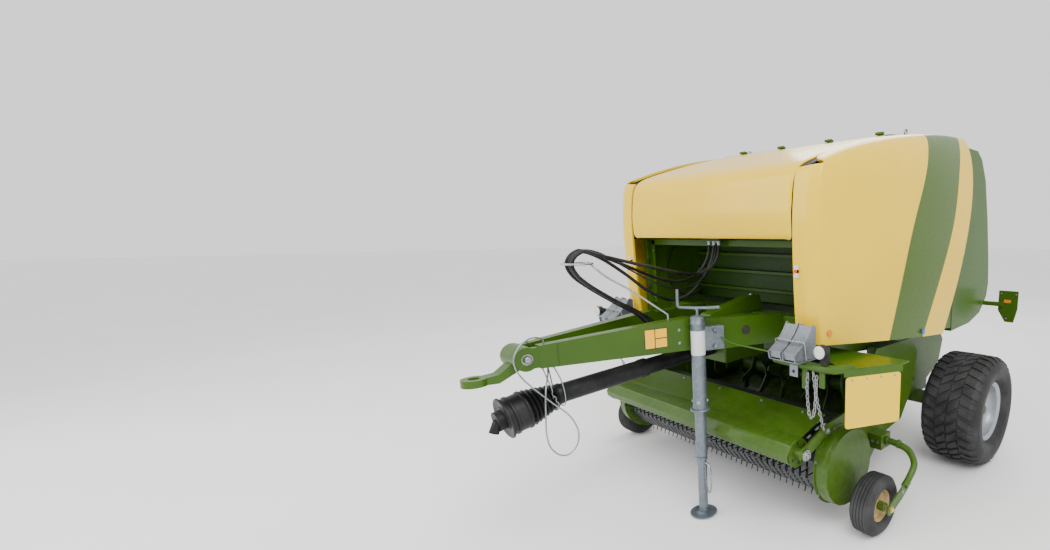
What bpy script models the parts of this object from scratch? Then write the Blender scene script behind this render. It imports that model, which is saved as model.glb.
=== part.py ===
"""Round baler, towed: chassis, bale chamber, pickup, wheels, covers, drawbar and jack.

Metres, +Z up.  The drawbar points towards -Y and the left-hand side of the machine is +X.
The origin is on the ground, under the middle of the machine's length and width.
"""
import math

import bmesh
import bpy
from mathutils import Vector

# ---- driving dimensions -------------------------------------------------------------
FIT = 0.0003                    # gap between pieces that are bolted or seated together

AXLE_Y = 0.96
TYRE_RADIUS = 0.43
TYRE_WIDTH = 0.45
RIM_RADIUS = 0.23
TRACK_HALF = 1.25               # middle of the tyre from the middle of the machine

CHAMBER_Y = 1.10
CHAMBER_Z = 1.65
CHAMBER_RADIUS = 0.775
CHAMBER_WALL = 0.055
CHAMBER_HALF_WIDTH = 0.60
FRAME_INNER_X = 0.795
FRAME_PLATE = 0.035
GATE_HALF_WIDTH = 0.93
HINGE_Y = 1.25                  # tailgate hinge, at the top of the split
HINGE_Z = 2.50

HOOD_HALF_WIDTH = 0.793
HOOD_HINGE_Y = 0.33
HOOD_HINGE_Z = 2.455
COVER_THICKNESS = 0.02
COVER_HINGE_X = 0.84
COVER_HINGE_Z = 2.54

ROTOR_Y = 0.20                  # feed rotor, and the axis that the pickup lifts about
ROTOR_Z = 0.66
ROTOR_RADIUS = 0.24
FEEDER_INNER_X = 0.945
FEEDER_PLATE = 0.015

REEL_Y = -0.47
REEL_Z = 0.385
TINE_RADIUS = 0.275
TINE_PITCH = 0.055
TINE_COUNT = 36
TINE_THICKNESS = 0.006
BAND_RADIUS = 0.20              # stripper bands
DRUM_RADIUS = 0.235             # covers at the ends of the pickup
BAND_SLOT = 0.018
BAND_THICKNESS = 0.003
PICKUP_INNER_X = 0.98
PICKUP_PLATE = 0.015
PICKUP_DRUM_WIDTH = 0.095

GUARD_PIVOT_Y = -0.60           # windguard pivot on the pickup
GUARD_PIVOT_Z = 0.63
GUARD_HALF_WIDTH = 0.955

GAUGE_Y = -0.431
GAUGE_RADIUS = 0.185
GAUGE_WIDTH = 0.15
GAUGE_X = 1.242

JACK_X = 0.299
JACK_Y = -0.970
JACK_TOP = 1.30
JACK_FLANGE_Z = 0.705
JACK_SLEEVE_RADIUS = 0.043
JACK_LEG_RADIUS = 0.036
JACK_FOOT_RADIUS = 0.086

BEAM_FRONT_Y = -0.355           # cross beam at the front of the chassis
BEAM_DEPTH = 0.155
BEAM_BOTTOM = 1.06
BEAM_TOP = 1.24
NOSE_Y = -1.887                 # bolt of the hitch discs
NOSE_Z = 1.165
NOSE_RADIUS = 0.062
EYE_Y = -2.105
EYE_Z = 1.080
EYE_RADIUS = 0.058
EYE_BORE = 0.026

DRIVE_FRONT = Vector((0.0, -1.70, 0.925))
DRIVE_REAR = Vector((0.0, -0.6047, 1.005))
DRIVE_RADIUS = 0.0545

RAIL_Y = -0.78
RAIL_Z = 1.07
RAIL_RADIUS = 0.0245
RAIL_TOP = RAIL_Z + RAIL_RADIUS * math.cos(math.pi / 10)      # flat top of the ten-sided tube

HOSE_DIAMETER = 0.020
CABLE_DIAMETER = 0.010
WIRE_DIAMETER = 0.008

SIDES = (("left", 1), ("right", -1))

# ---- scene --------------------------------------------------------------------------
for old in list(bpy.data.objects):
    bpy.data.objects.remove(old)

machine = bpy.data.collections.new("round_baler")
cutters = bpy.data.collections.new("cutters")
bpy.context.scene.collection.children.link(machine)
bpy.context.scene.collection.children.link(cutters)


def finish(name, colour, roughness, metallic=0.0):
    """Principled material of one finish."""
    mat = bpy.data.materials.new(name)
    mat.use_nodes = True
    shader = mat.node_tree.nodes["Principled BSDF"]
    shader.inputs["Base Color"].default_value = (*colour, 1.0)
    shader.inputs["Roughness"].default_value = roughness
    shader.inputs["Metallic"].default_value = metallic
    return mat


GREEN = finish("green_paint", (0.085, 0.165, 0.035), 0.4)
CREAM = finish("cream_panel", (0.72, 0.56, 0.24), 0.35)
ZINC = finish("galvanised_steel", (0.50, 0.53, 0.56), 0.45, 0.8)
STEEL = finish("bare_steel", (0.35, 0.35, 0.35), 0.4, 1.0)
BLACK = finish("black_plastic", (0.02, 0.02, 0.022), 0.5)
RUBBER = finish("tyre_rubber", (0.025, 0.025, 0.025), 0.8)
SILVER = finish("silver_rim", (0.62, 0.64, 0.66), 0.35, 0.6)
BANDS = finish("stripper_steel", (0.10, 0.11, 0.12), 0.5, 0.4)


# ---- shapes -------------------------------------------------------------------------
def place(obj, mat=None):
    """Put an object in the machine's collection with its material."""
    for collection in list(obj.users_collection):
        collection.objects.unlink(obj)
    machine.objects.link(obj)
    if mat:
        obj.data.materials.clear()
        obj.data.materials.append(mat)
    return obj


def hide(obj):
    """Turn an object into a cutter or an operand, which is no part of the machine."""
    for collection in list(obj.users_collection):
        collection.objects.unlink(obj)
    cutters.objects.link(obj)
    obj.hide_render = True
    obj.display_type = "WIRE"
    return obj


def mesh_object(name, bm, mat=None):
    bmesh.ops.recalc_face_normals(bm, faces=bm.faces)
    mesh = bpy.data.meshes.new(name)
    bm.to_mesh(mesh)
    bm.free()
    return place(bpy.data.objects.new(name, mesh), mat)


def box(name, low, high, mat=None):
    """Upright box between two corners."""
    low, high = Vector(low), Vector(high)
    bm = bmesh.new()
    bmesh.ops.create_cube(bm, size=1.0)
    bmesh.ops.scale(bm, vec=high - low, verts=bm.verts)
    bmesh.ops.translate(bm, vec=(low + high) / 2, verts=bm.verts)
    return mesh_object(name, bm, mat)


def rod(name, start, end, radius, mat=None, sides=16, end_radius=None):
    """Round bar, or a cone, between two points."""
    start, end = Vector(start), Vector(end)
    along = end - start
    bm = bmesh.new()
    bmesh.ops.create_cone(bm, cap_ends=True, segments=sides, radius1=radius,
                          radius2=radius if end_radius is None else end_radius,
                          depth=along.length)
    obj = mesh_object(name, bm, mat)
    obj.data.shade_smooth()
    obj.data.set_sharp_from_angle(angle=math.radians(40))
    obj.location = (start + end) / 2
    obj.rotation_euler = along.to_track_quat("Z", "Y").to_euler()
    return obj


def turned(name, profile, origin, direction, steps, mat=None):
    """Solid of revolution; the profile is (radius, height), down its outer side."""
    bm = bmesh.new()
    points = [bm.verts.new((radius, 0.0, height)) for radius, height in profile]
    for first, second in zip(points, points[1:] + points[:1]):
        if first.co.x > 1e-6 or second.co.x > 1e-6:
            bm.edges.new((first, second))
    mesh = bpy.data.meshes.new(name)
    bm.to_mesh(mesh)
    bm.free()
    obj = place(bpy.data.objects.new(name, mesh), mat)
    screw = obj.modifiers.new("turn", "SCREW")
    screw.steps = steps
    screw.render_steps = steps
    screw.use_merge_vertices = True
    screw.merge_threshold = 0.00001
    screw.use_smooth_shade = True
    obj.location = origin
    obj.rotation_euler = Vector(direction).to_track_quat("Z", "Y").to_euler()
    return obj


def to_mesh(obj):
    """Turn a curve, or an object with modifiers, into a plain welded mesh."""
    bpy.context.view_layer.update()
    graph = bpy.context.evaluated_depsgraph_get()
    mesh = bpy.data.meshes.new_from_object(obj.evaluated_get(graph))
    bm = bmesh.new()
    bm.from_mesh(mesh)
    bmesh.ops.remove_doubles(bm, verts=bm.verts, dist=0.00005)
    bmesh.ops.recalc_face_normals(bm, faces=bm.faces)
    bm.to_mesh(mesh)
    bm.free()
    name = obj.name
    solid = bpy.data.objects.new(name, mesh)
    solid.matrix_world = obj.matrix_world.copy()
    bpy.data.objects.remove(obj)
    solid.name = name
    machine.objects.link(solid)
    return solid


def tube(name, points, radius, mat=None, resolution=2):
    """Round bar along a line of points."""
    curve = bpy.data.curves.new(name, "CURVE")
    curve.dimensions = "3D"
    curve.bevel_depth = radius
    curve.bevel_resolution = resolution
    curve.use_fill_caps = True
    spline = curve.splines.new("POLY")
    spline.points.add(len(points) - 1)
    for point, spot in zip(spline.points, points):
        point.co = (*spot, 1.0)
    return place(bpy.data.objects.new(name, curve), mat)


def plate(name, outline, low_x, high_x, mat=None):
    """Flat (y, z) outline, cut from plate that lies across X."""
    curve = bpy.data.curves.new(name, "CURVE")
    curve.dimensions = "2D"
    curve.fill_mode = "BOTH"
    curve.extrude = abs(high_x - low_x) / 2
    spline = curve.splines.new("POLY")
    spline.points.add(len(outline) - 1)
    for point, (y, z) in zip(spline.points, outline):
        point.co = (y, z, 0.0, 1.0)
    spline.use_cyclic_u = True
    obj = place(bpy.data.objects.new(name, curve), mat)
    obj.location = ((low_x + high_x) / 2, 0.0, 0.0)
    obj.rotation_euler = (math.pi / 2, 0.0, math.pi / 2)
    return to_mesh(obj)


def loft(name, sections, mat=None):
    """Closed body through loops of points, with flat ends."""
    bm = bmesh.new()
    rings = [[bm.verts.new(spot) for spot in section] for section in sections]
    count = len(rings[0])
    for near, far in zip(rings, rings[1:]):
        for i in range(count):
            j = (i + 1) % count
            bm.faces.new((near[i], near[j], far[j], far[i]))
    bm.faces.new(rings[0][::-1])
    bm.faces.new(rings[-1])
    return mesh_object(name, bm, mat)


def skin(name, rows, thickness, mat=None):
    """Thin shell over a grid of points; the thickness goes inwards."""
    bm = bmesh.new()
    grid = [[bm.verts.new(spot) for spot in row] for row in rows]
    for low, high in zip(grid, grid[1:]):
        for i in range(len(low) - 1):
            bm.faces.new((low[i], low[i + 1], high[i + 1], high[i]))
    obj = mesh_object(name, bm, mat)
    solidify = obj.modifiers.new("thickness", "SOLIDIFY")
    solidify.thickness = abs(thickness)
    solidify.offset = -1.0 if thickness > 0 else 1.0
    obj.data.shade_smooth()
    return obj


def sheet(name, profile, half_width, thickness, mat=None):
    """Bent (y, z) profile pressed across the machine's width."""
    rows = [[(x, y, z) for y, z in profile] for x in (-half_width, half_width)]
    obj = skin(name, rows, thickness, mat)
    obj.data.shade_flat()
    return obj


def combine(base, parts, operation="UNION"):
    """Weld parts onto a base, or cut them out of it."""
    for part in parts:
        boolean = base.modifiers.new(part.name, "BOOLEAN")
        boolean.operation = operation
        boolean.solver = "EXACT"
        boolean.object = hide(part)
    return base


def arc(centre_y, centre_z, radius, start, stop, count):
    """Points of an arc in the (y, z) plane; angles in degrees from +Y."""
    angles = [math.radians(start + (stop - start) * i / (count - 1)) for i in range(count)]
    return [(centre_y + radius * math.cos(a), centre_z + radius * math.sin(a)) for a in angles]


def smooth_line(points, spacing):
    """Evenly spaced points along the smooth curve through a cord's route."""
    line = []
    knots = [Vector(p) for p in points]
    knots = [knots[0] * 2 - knots[1]] + knots + [knots[-1] * 2 - knots[-2]]
    for a, b, c, d in zip(knots, knots[1:], knots[2:], knots[3:]):
        steps = max(2, round((c - b).length / spacing))
        for i in range(steps):
            t = i / steps
            line.append(0.5 * ((2 * b) + (c - a) * t + (2 * a - 5 * b + 4 * c - d) * t * t
                               + (3 * b - a - 3 * c + d) * t * t * t))
    line.append(knots[-2])
    return line


ROOF_PROFILE = [(HOOD_HINGE_Y + 0.0030, 2.457), (0.62, 2.487), (0.86, 2.496)]

# ---- chassis: bale chamber, side frames and cross beams -----------------------------
GATE_SPLIT_TOP = (HINGE_Y, HINGE_Z - 0.01)          # front edge of the tailgate
GATE_SPLIT_FOOT = (1.305, 0.95)
SPLIT_GAP = 0.022
QUARTER_STEP = 0.006            # the chassis panel lies this much inside the tailgate's side


def chamber():
    """Front half of the bale chamber, with its thick side walls and the crop intake."""
    outer = CHAMBER_RADIUS + CHAMBER_WALL
    outline = arc(CHAMBER_Y, CHAMBER_Z, outer, 97.0, 282.0, 24)
    outline += [(GATE_SPLIT_FOOT[0] - SPLIT_GAP, GATE_SPLIT_FOOT[1]),
                (HINGE_Y - FIT, GATE_SPLIT_TOP[1] - 0.02)]
    body = plate("bale_chamber", outline, -FRAME_INNER_X + FIT, FRAME_INNER_X - FIT, GREEN)
    bore = rod("chamber_bore", (-CHAMBER_HALF_WIDTH, CHAMBER_Y, CHAMBER_Z),
               (CHAMBER_HALF_WIDTH, CHAMBER_Y, CHAMBER_Z), CHAMBER_RADIUS, sides=48)
    intake = box("crop_intake", (-CHAMBER_HALF_WIDTH, 0.20, 0.86),
                 (CHAMBER_HALF_WIDTH, 0.80, 1.16))
    combine(body, [bore, intake], "DIFFERENCE")


def split_y(z):
    """Rear edge of the chassis at height z, just in front of the tailgate."""
    share = (GATE_SPLIT_TOP[1] - z) / (GATE_SPLIT_TOP[1] - GATE_SPLIT_FOOT[1])
    return GATE_SPLIT_TOP[0] + (GATE_SPLIT_FOOT[0] - GATE_SPLIT_TOP[0]) * share - 2 * FIT


def side_frame(side, sign):
    """Side plate of the chassis, from the front post back to the axle, with the panel behind the cover."""
    outline = [(-0.56, 1.03), (-0.56, 2.06), (-0.30, 2.25), (0.30, 2.40)]
    outline += [(y, z - COVER_THICKNESS - 2 * FIT) for y, z in ROOF_PROFILE]
    outline += [(split_y(z), z) for z in (2.46, 0.96, 0.94)]
    outline += [(1.37, 0.86), (1.37, 0.86), (1.305, 0.67), (1.08, 0.56),
                (1.08, AXLE_BEAM_TOP + FIT), (0.84, AXLE_BEAM_TOP + FIT), (0.82, 0.56),
               (0.45, 0.95)]
    outer = FRAME_INNER_X + FRAME_PLATE
    near, far = sorted((sign * FRAME_INNER_X, sign * outer))
    frame = plate("side_frame_" + side, outline, near, far, GREEN)
    near, far = sorted((sign * (outer - 0.01), sign * (COVER_HINGE_X + 0.0188)))
    hinge = box("cover_hinge", (near, 0.28, 2.34), (far, 0.36, 2.43))
    quarter = [(1.08, 2.45), (split_y(2.45), 2.45), (split_y(0.98), 0.98), (0.74, 1.03), (0.86, 1.45), (1.00, 1.85)]
    near, far = sorted((sign * (outer - 0.01), sign * (GATE_HALF_WIDTH - QUARTER_STEP)))
    combine(frame, [hinge, plate("rear_quarter", quarter, near, far)])


AXLE_BEAM_HALF = 0.045
AXLE_BEAM_TOP = TYRE_RADIUS + AXLE_BEAM_HALF
HUB_BACK = 0.13                          # back of the hub from the middle of the tyre


def axle():
    """Square axle beam with its round stubs."""
    hub_x = TRACK_HALF - HUB_BACK
    beam = box("axle_beam", (-hub_x + 0.05, AXLE_Y - AXLE_BEAM_HALF, TYRE_RADIUS - AXLE_BEAM_HALF),
               (hub_x - 0.05, AXLE_Y + AXLE_BEAM_HALF, AXLE_BEAM_TOP), GREEN)
    stub = rod("axle_stub", (-hub_x + FIT, AXLE_Y, TYRE_RADIUS), (hub_x - FIT, AXLE_Y, TYRE_RADIUS),
               0.04)
    combine(beam, [stub])


def cross_members():
    """Beams and boxes between the side frames."""
    reach = FRAME_INNER_X - FIT
    box("front_beam", (-reach, BEAM_FRONT_Y, BEAM_BOTTOM),
        (reach, BEAM_FRONT_Y + BEAM_DEPTH, BEAM_TOP), GREEN)
    box("hood_beam", (-reach, -0.52, 1.70), (reach, -0.44, 1.745), GREEN)
    box("wrap_box", (-reach, -0.42, 1.80), (reach, -0.04, 2.10), GREEN)
    box("rear_wall", (-reach, -0.03, BEAM_TOP + 0.02), (reach, -0.018, 1.79), GREEN)
    box("gearbox", (-0.13, -0.60, 0.90), (0.13, BEAM_FRONT_Y + BEAM_DEPTH, BEAM_BOTTOM - FIT), GREEN)
    box("valve_block", (-0.10, -0.60, VALVE_Z), (0.10, -0.52 - FIT, 1.82), STEEL)


def feeder():
    """Side plates and floor of the feed channel, and the rotor between them."""
    outer = FEEDER_INNER_X + FEEDER_PLATE
    frame_outer = FRAME_INNER_X + FRAME_PLATE
    for side, sign in SIDES:
        outline = [(-0.10, 0.56), (-0.10, 0.86), (0.02, 1.02), (0.52, 1.02), (0.62, 0.90),
                   (0.56, 0.62), (0.40, 0.42), (0.12, 0.38), (-0.04, 0.42)]
        near, far = sorted((sign * FEEDER_INNER_X, sign * outer))
        wall = plate("feeder_side_" + side, outline, near, far, GREEN)
        near, far = sorted((sign * (frame_outer + FIT), sign * (FEEDER_INNER_X + 0.005)))
        spacer = box("spacer", (near, 0.10, 0.955), (far, 0.40, 1.01))
        combine(wall, [spacer])
    floor = [(-0.02, 0.445), (0.10, 0.40), (0.25, 0.395), (0.38, 0.44), (0.47, 0.53), (0.62, 0.68)]
    sheet("feeder_floor", floor, FEEDER_INNER_X - FIT, 0.006, GREEN)


def rotor():
    """Feed rotor: shaft with forked discs, and an auger flight at each end."""
    axis = (ROTOR_Y, ROTOR_Z)
    reach = FEEDER_INNER_X - FIT
    shaft = rod("feed_rotor", (-reach, *axis), (reach, *axis), 0.06, GREEN)
    parts = []
    for i in range(7):
        x = (i - 3) * 0.16
        turn = 25.0 * i
        outline = []
        for tooth in range(4):
            angle = turn + 90.0 * tooth
            for offset, radius in ((-22, 0.10), (-6, ROTOR_RADIUS), (3, ROTOR_RADIUS), (24, 0.10)):
                spot = math.radians(angle + offset)
                outline.append((ROTOR_Y + radius * math.cos(spot), ROTOR_Z + radius * math.sin(spot)))
        parts.append(plate("rotor_disc", outline, x - 0.006, x + 0.006))
    for sign in (1, -1):
        for i in range(2):
            x = sign * (0.69 + 0.13 * i)
            lean = Vector((0.010, 0.0, 0.003 * sign))
            parts.append(rod("flight", Vector((x, *axis)) - lean, Vector((x, *axis)) + lean, 0.19))
    combine(shaft, parts)


# ---- drawbar, hitch, driveline and jack ---------------------------------------------
# stations of a drawbar arm: y, inner and outer face, underside and top
ARM_STATIONS = [(-1.82, 0.030, 0.085, 1.105, 1.225), (-0.97, 0.165, 0.245, 1.080, 1.285),
                (-0.93, 0.175, 0.255, 1.062, 1.270), (BEAM_FRONT_Y - FIT, 0.365, 0.450, 1.065, 1.255)]


def arm_value(y, column):
    """Face or edge of a drawbar arm at a place along it."""
    for near, far in zip(ARM_STATIONS, ARM_STATIONS[1:]):
        if near[0] <= y <= far[0]:
            share = (y - near[0]) / (far[0] - near[0])
            return near[column] + (far[column] - near[column]) * share
    return ARM_STATIONS[-1][column]


def arm_outer(y):
    return arm_value(y, 2)


def arm_top(y):
    return arm_value(y, 4)


def drawbar():
    """Two tapering arms that meet at the hitch discs."""
    arms = []
    for side, sign in SIDES:
        sections = []
        for y, inner, outer, low, high in ARM_STATIONS:
            inner, outer = sign * inner, sign * outer
            sections.append([(inner, y, low), (outer, y, low), (outer, y, high), (inner, y, high)])
        arms.append(loft("arm_" + side, sections))
        near, far = sorted((sign * 0.051, sign * 0.086))
        arms.append(box("lug", (near, NOSE_Y, NOSE_Z - 0.053), (far, -1.74, NOSE_Z + 0.053)))
        near, far = sorted((sign * 0.050, sign * 0.088))
        arms.append(rod("disc", (near, NOSE_Y, NOSE_Z), (far, NOSE_Y, NOSE_Z), NOSE_RADIUS, sides=24))
        arms.append(rod("bolt_head", (sign * 0.08, NOSE_Y, NOSE_Z), (sign * 0.104, NOSE_Y, NOSE_Z),
                        0.022, sides=6))
    arms.append(box("hose_tray", (-0.17, -1.14, 1.150), (0.17, -1.00, 1.162)))
    arms.append(box("rear_tie", (-0.22, -0.90, 1.10), (0.22, -0.84, 1.20)))
    base = box("drawbar", (-0.06, -1.80, NOSE_Z - 0.05), (0.06, -1.70, NOSE_Z + 0.05), GREEN)
    combine(base, arms)


def hitch_eye():
    """Towing eye, cranked down from the discs."""
    clear = 0.050 - FIT
    hub = rod("hitch_eye", (-clear, NOSE_Y, NOSE_Z), (clear, NOSE_Y, NOSE_Z), NOSE_RADIUS, GREEN, 24)
    shank = loft("shank", [
        [(s * 0.042, NOSE_Y, NOSE_Z - 0.05) for s in (-1, 1)]
        + [(s * 0.042, NOSE_Y, NOSE_Z + 0.02) for s in (1, -1)],
        [(s * 0.036, EYE_Y + 0.10, EYE_Z - 0.022) for s in (-1, 1)]
        + [(s * 0.036, EYE_Y + 0.10, EYE_Z + 0.022) for s in (1, -1)],
        [(s * 0.036, EYE_Y + 0.03, EYE_Z - 0.017) for s in (-1, 1)]
        + [(s * 0.036, EYE_Y + 0.03, EYE_Z + 0.017) for s in (1, -1)]])
    ring = rod("ring", (0, EYE_Y, EYE_Z - 0.018), (0, EYE_Y, EYE_Z + 0.018), EYE_RADIUS, sides=28)
    bore = rod("bore", (0, EYE_Y, EYE_Z - 0.05), (0, EYE_Y, EYE_Z + 0.05), EYE_BORE, sides=20)
    combine(hub, [shank, ring])
    combine(hub, [bore], "DIFFERENCE")


def driveline():
    """Guarded drive shaft, hung parked under the drawbar."""
    along = (DRIVE_REAR - DRIVE_FRONT).normalized()
    guard = rod("driveline_guard", DRIVE_FRONT - along * 0.02, DRIVE_REAR, DRIVE_RADIUS, BLACK, 20)
    boot_front = Vector((0.0, -1.995, 0.862))
    boot_axis = DRIVE_FRONT - boot_front
    length = boot_axis.length
    ribs = [(0.0, length + 0.02), (0.060, length + 0.02)]
    for i in range(5):
        height = length - 0.035 - 0.028 * i
        radius = 0.070 + 0.007 * i
        ribs += [(radius - 0.010, height + 0.010), (radius, height)]
    ribs += [(0.092, 0.125), (0.098, 0.115), (0.098, 0.020), (0.111, 0.012), (0.111, 0.0), (0.0, 0.0)]
    boot = turned("boot", ribs, boot_front, boot_axis, 24)
    combine(guard, [boot])
    tip = Vector((0.0, -2.045, 0.800))
    face = boot_front - boot_axis.normalized() * FIT
    neck = face - boot_axis.normalized() * 0.035
    yoke = rod("driveline_yoke", face, neck, 0.052, BLACK, 16)
    fork = rod("fork", neck + boot_axis.normalized() * 0.01, tip, 0.024, sides=12)
    combine(yoke, [fork])


def jack():
    """Crank jack on the left drawbar arm: fixed sleeve, crank, and the leg that slides."""
    bore = JACK_LEG_RADIUS + 0.0008
    radius = JACK_SLEEVE_RADIUS
    profile = [(0.0, JACK_TOP), (radius, JACK_TOP), (radius, JACK_FLANGE_Z + 0.012), (0.062, JACK_FLANGE_Z + 0.012),
               (0.062, JACK_FLANGE_Z), (bore, JACK_FLANGE_Z), (bore, JACK_TOP - 0.02),
               (0.0, JACK_TOP - 0.02)]
    sleeve = turned("jack_sleeve", profile, (JACK_X, JACK_Y, 0.0), (0, 0, 1), 24, ZINC)
    sections = []
    for y in (JACK_Y + 0.0395, JACK_Y + 0.165):
        inner = arm_outer(y) + FIT
        sections.append([(inner, y, 1.075), (inner + 0.06, y, 1.075), (inner + 0.06, y, 1.225), (inner, y, 1.225)])
    bracket = loft("jack_bracket", sections)
    combine(sleeve, [bracket])
    leg_profile = [(0.0, 0.98), (JACK_LEG_RADIUS, 0.98), (JACK_LEG_RADIUS, 0.405), (0.029, 0.400),
                   (0.029, 0.012), (JACK_FOOT_RADIUS, 0.010), (JACK_FOOT_RADIUS, 0.0), (0.0, 0.0)]
    leg = turned("jack_leg", leg_profile, (JACK_X, JACK_Y, 0.0), (0, 0, 1), 24, ZINC)
    pin = rod("jack_pin", (JACK_X - 0.06, JACK_Y, 0.36), (JACK_X + 0.06, JACK_Y, 0.36), 0.008, sides=8)
    combine(leg, [pin])
    crank_z = JACK_TOP + 0.045
    tube("jack_crank", [(JACK_X, JACK_Y, JACK_TOP + FIT), (JACK_X, JACK_Y, crank_z - 0.01),
                        (JACK_X - 0.012, JACK_Y - 0.006, crank_z), (JACK_X - 0.105, JACK_Y - 0.05, crank_z),
                        (JACK_X - 0.115, JACK_Y - 0.055, crank_z + 0.012),
                        (JACK_X - 0.115, JACK_Y - 0.055, crank_z + 0.11)], 0.010, ZINC)


# ---- wheels -------------------------------------------------------------------------
def main_wheel(side, sign):
    """Flotation tyre on a dished steel rim."""
    half = TYRE_WIDTH / 2
    shoulder = TYRE_RADIUS - 0.035
    bead = RIM_RADIUS + FIT
    tyre = [(bead, half - 0.045), (bead + 0.03, half - 0.012), (bead + 0.10, half), (shoulder, half - 0.015),
            (TYRE_RADIUS - 0.004, half - 0.05), (TYRE_RADIUS, 0.0), (TYRE_RADIUS - 0.004, 0.05 - half),
            (shoulder, 0.015 - half), (bead + 0.10, -half), (bead + 0.03, 0.012 - half),
            (bead, 0.045 - half)]
    centre = (sign * TRACK_HALF, AXLE_Y, TYRE_RADIUS)
    turned("tyre_" + side, tyre, centre, (sign, 0, 0), 36, RUBBER)
    edge = half - 0.050
    rim = [(0.0, 0.115), (0.045, 0.115), (0.060, 0.100), (0.060, 0.070), (0.130, 0.060), (0.195, 0.100),
           (0.205, edge), (RIM_RADIUS, edge), (RIM_RADIUS, -edge), (0.205, -edge), (0.200, -0.06),
           (0.09, -0.03), (0.075, -HUB_BACK), (0.0, -HUB_BACK)]
    turned("rim_" + side, rim, centre, (sign, 0, 0), 36, SILVER)


def gauge_wheel(side, sign):
    """Small pickup wheel, tyre and hub in one."""
    half = GAUGE_WIDTH / 2
    centre = (sign * GAUGE_X, GAUGE_Y, GAUGE_RADIUS)
    profile = [(0.0, half + 0.008), (0.030, half + 0.008), (0.034, 0.030), (0.085, 0.030), (0.092, half - 0.020),
               (0.110, half - 0.004), (0.145, half), (0.172, half - 0.018), (GAUGE_RADIUS, half - 0.045),
               (GAUGE_RADIUS, 0.045 - half), (0.172, 0.018 - half), (0.145, -half), (0.110, 0.004 - half),
               (0.092, 0.020 - half), (0.085, -0.030), (0.034, -0.030), (0.030, -half), (0.0, -half)]
    turned("gauge_wheel_" + side, profile, centre, (sign, 0, 0), 28, RUBBER)


# ---- tailgate, hood and side covers -------------------------------------------------
def tailgate():
    """Rear half of the bale chamber, with the bumper beam that carries the lights."""
    outline = [GATE_SPLIT_TOP, (1.66, 2.49), (1.77, 2.43), (1.89, 2.26), (2.005, 1.91), (2.096, 1.535),
               (2.132, 1.31), (2.10, 1.18), (1.95, 1.04), (1.70, 0.971), GATE_SPLIT_FOOT]
    body = plate("tailgate", outline, -GATE_HALF_WIDTH, GATE_HALF_WIDTH, GREEN)
    bumper = box("bumper", (-0.86, 1.90, 1.08), (0.86, 2.06, 1.16))
    combine(body, [bumper])
    bore = rod("gate_bore", (-CHAMBER_HALF_WIDTH, CHAMBER_Y, CHAMBER_Z),
               (CHAMBER_HALF_WIDTH, CHAMBER_Y, CHAMBER_Z), CHAMBER_RADIUS, sides=48)
    space = [(1.00, 2.43), (1.645, 2.43), (1.74, 2.385), (1.83, 2.23), (1.945, 1.895), (2.036, 1.525),
             (2.07, 1.31), (2.045, 1.22), (1.92, 1.10), (1.69, 1.03), (1.20, 1.012)]
    pockets = []
    for sign in (1, -1):
        near, far = sorted((sign * (CHAMBER_HALF_WIDTH + 0.03), sign * (GATE_HALF_WIDTH - 0.03)))
        pockets.append(plate("side_space", space, near, far))
    combine(body, [bore] + pockets, "DIFFERENCE")


def light_bracket(side, sign):
    """Arm and board for the rear lights."""
    near, far = sorted((sign * 0.62, sign * 1.10))
    arm = box("light_bracket_" + side, (near, 2.06 + FIT, 1.10), (far, 2.10, 1.14), GREEN)
    outline = [(sign * 1.05, 1.25), (sign * 1.23, 1.25), (sign * 1.23, 1.08), (sign * 1.20, 0.95),
               (sign * 1.12, 0.95), (sign * 1.05, 1.06)]
    board = loft("board", [[(x, y, z) for x, z in outline] for y in (2.095, 2.107)])
    combine(arm, [board])


HOOD_PROFILE = [(-0.668, 1.755), (-0.682, 1.79), (-0.686, 1.92), (-0.672, 2.06), (-0.646, 2.135),
                (-0.600, 2.180), (-0.23, 2.310), (0.06, 2.390), (HOOD_HINGE_Y, HOOD_HINGE_Z)]


def hood_and_roof():
    """Front hood, hinged at the roof, and the fixed roof sheet behind it."""
    sheet("front_hood", HOOD_PROFILE, HOOD_HALF_WIDTH, COVER_THICKNESS, CREAM)
    sheet("roof_panel", ROOF_PROFILE, FRAME_INNER_X + FRAME_PLATE, COVER_THICKNESS, CREAM)


# plan of a side cover from its inner front edge round to the rear: x at the belt, y, foot and top height
COVER_PLAN = [(0.806, -0.685, 1.155, 2.150), (0.900, -0.690, 1.155, 2.155), (0.970, -0.660, 1.155, 2.165),
              (1.005, -0.580, 1.150, 2.200), (1.050, -0.350, 1.135, 2.290), (1.100, -0.050, 1.115, 2.385),
              (1.130, 0.300, 1.090, 2.455), (1.145, 0.680, 1.065, 2.505), (1.145, 1.040, 1.045, 2.530)]
COVER_BELT_Z = 1.85


def side_cover(side, sign):
    """Gull-wing side cover: a bulged panel that wraps round the front corner."""
    last = len(COVER_PLAN) - 1
    rows = []
    for level in range(6):
        row = []
        for i, (x, y, foot, top) in enumerate(COVER_PLAN):
            z = (foot, 1.45, COVER_BELT_Z, 2.15 if i > 3 else (COVER_BELT_Z + top) / 2, top, top + 0.004)[level]
            lean = (0.045, 0.015, 0.0, 0.012, 0.045, 0.065)[level] if i < 3 else 0.0
            inset = (0.020, 0.002, 0.0, 0.020, 0.0, 0.0)[level] if i > 2 else 0.0
            spot_x = x - inset
            if i > 2 and level >= 4:
                edge = COVER_HINGE_X + 0.02 if i < 7 else GATE_HALF_WIDTH + 0.02
                spot_x = (0.955 + 0.005 * (i - 3)) if level == 4 else edge
            share = i / last
            back = (-0.34, -0.14, 0.0, 0.07, 0.20, 0.20)[level] * share ** 3
            row.append((sign * spot_x, y + lean + back, z))
        rows.append(row)
    obj = skin("side_cover_" + side, rows, COVER_THICKNESS, CREAM)
    return obj


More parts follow.
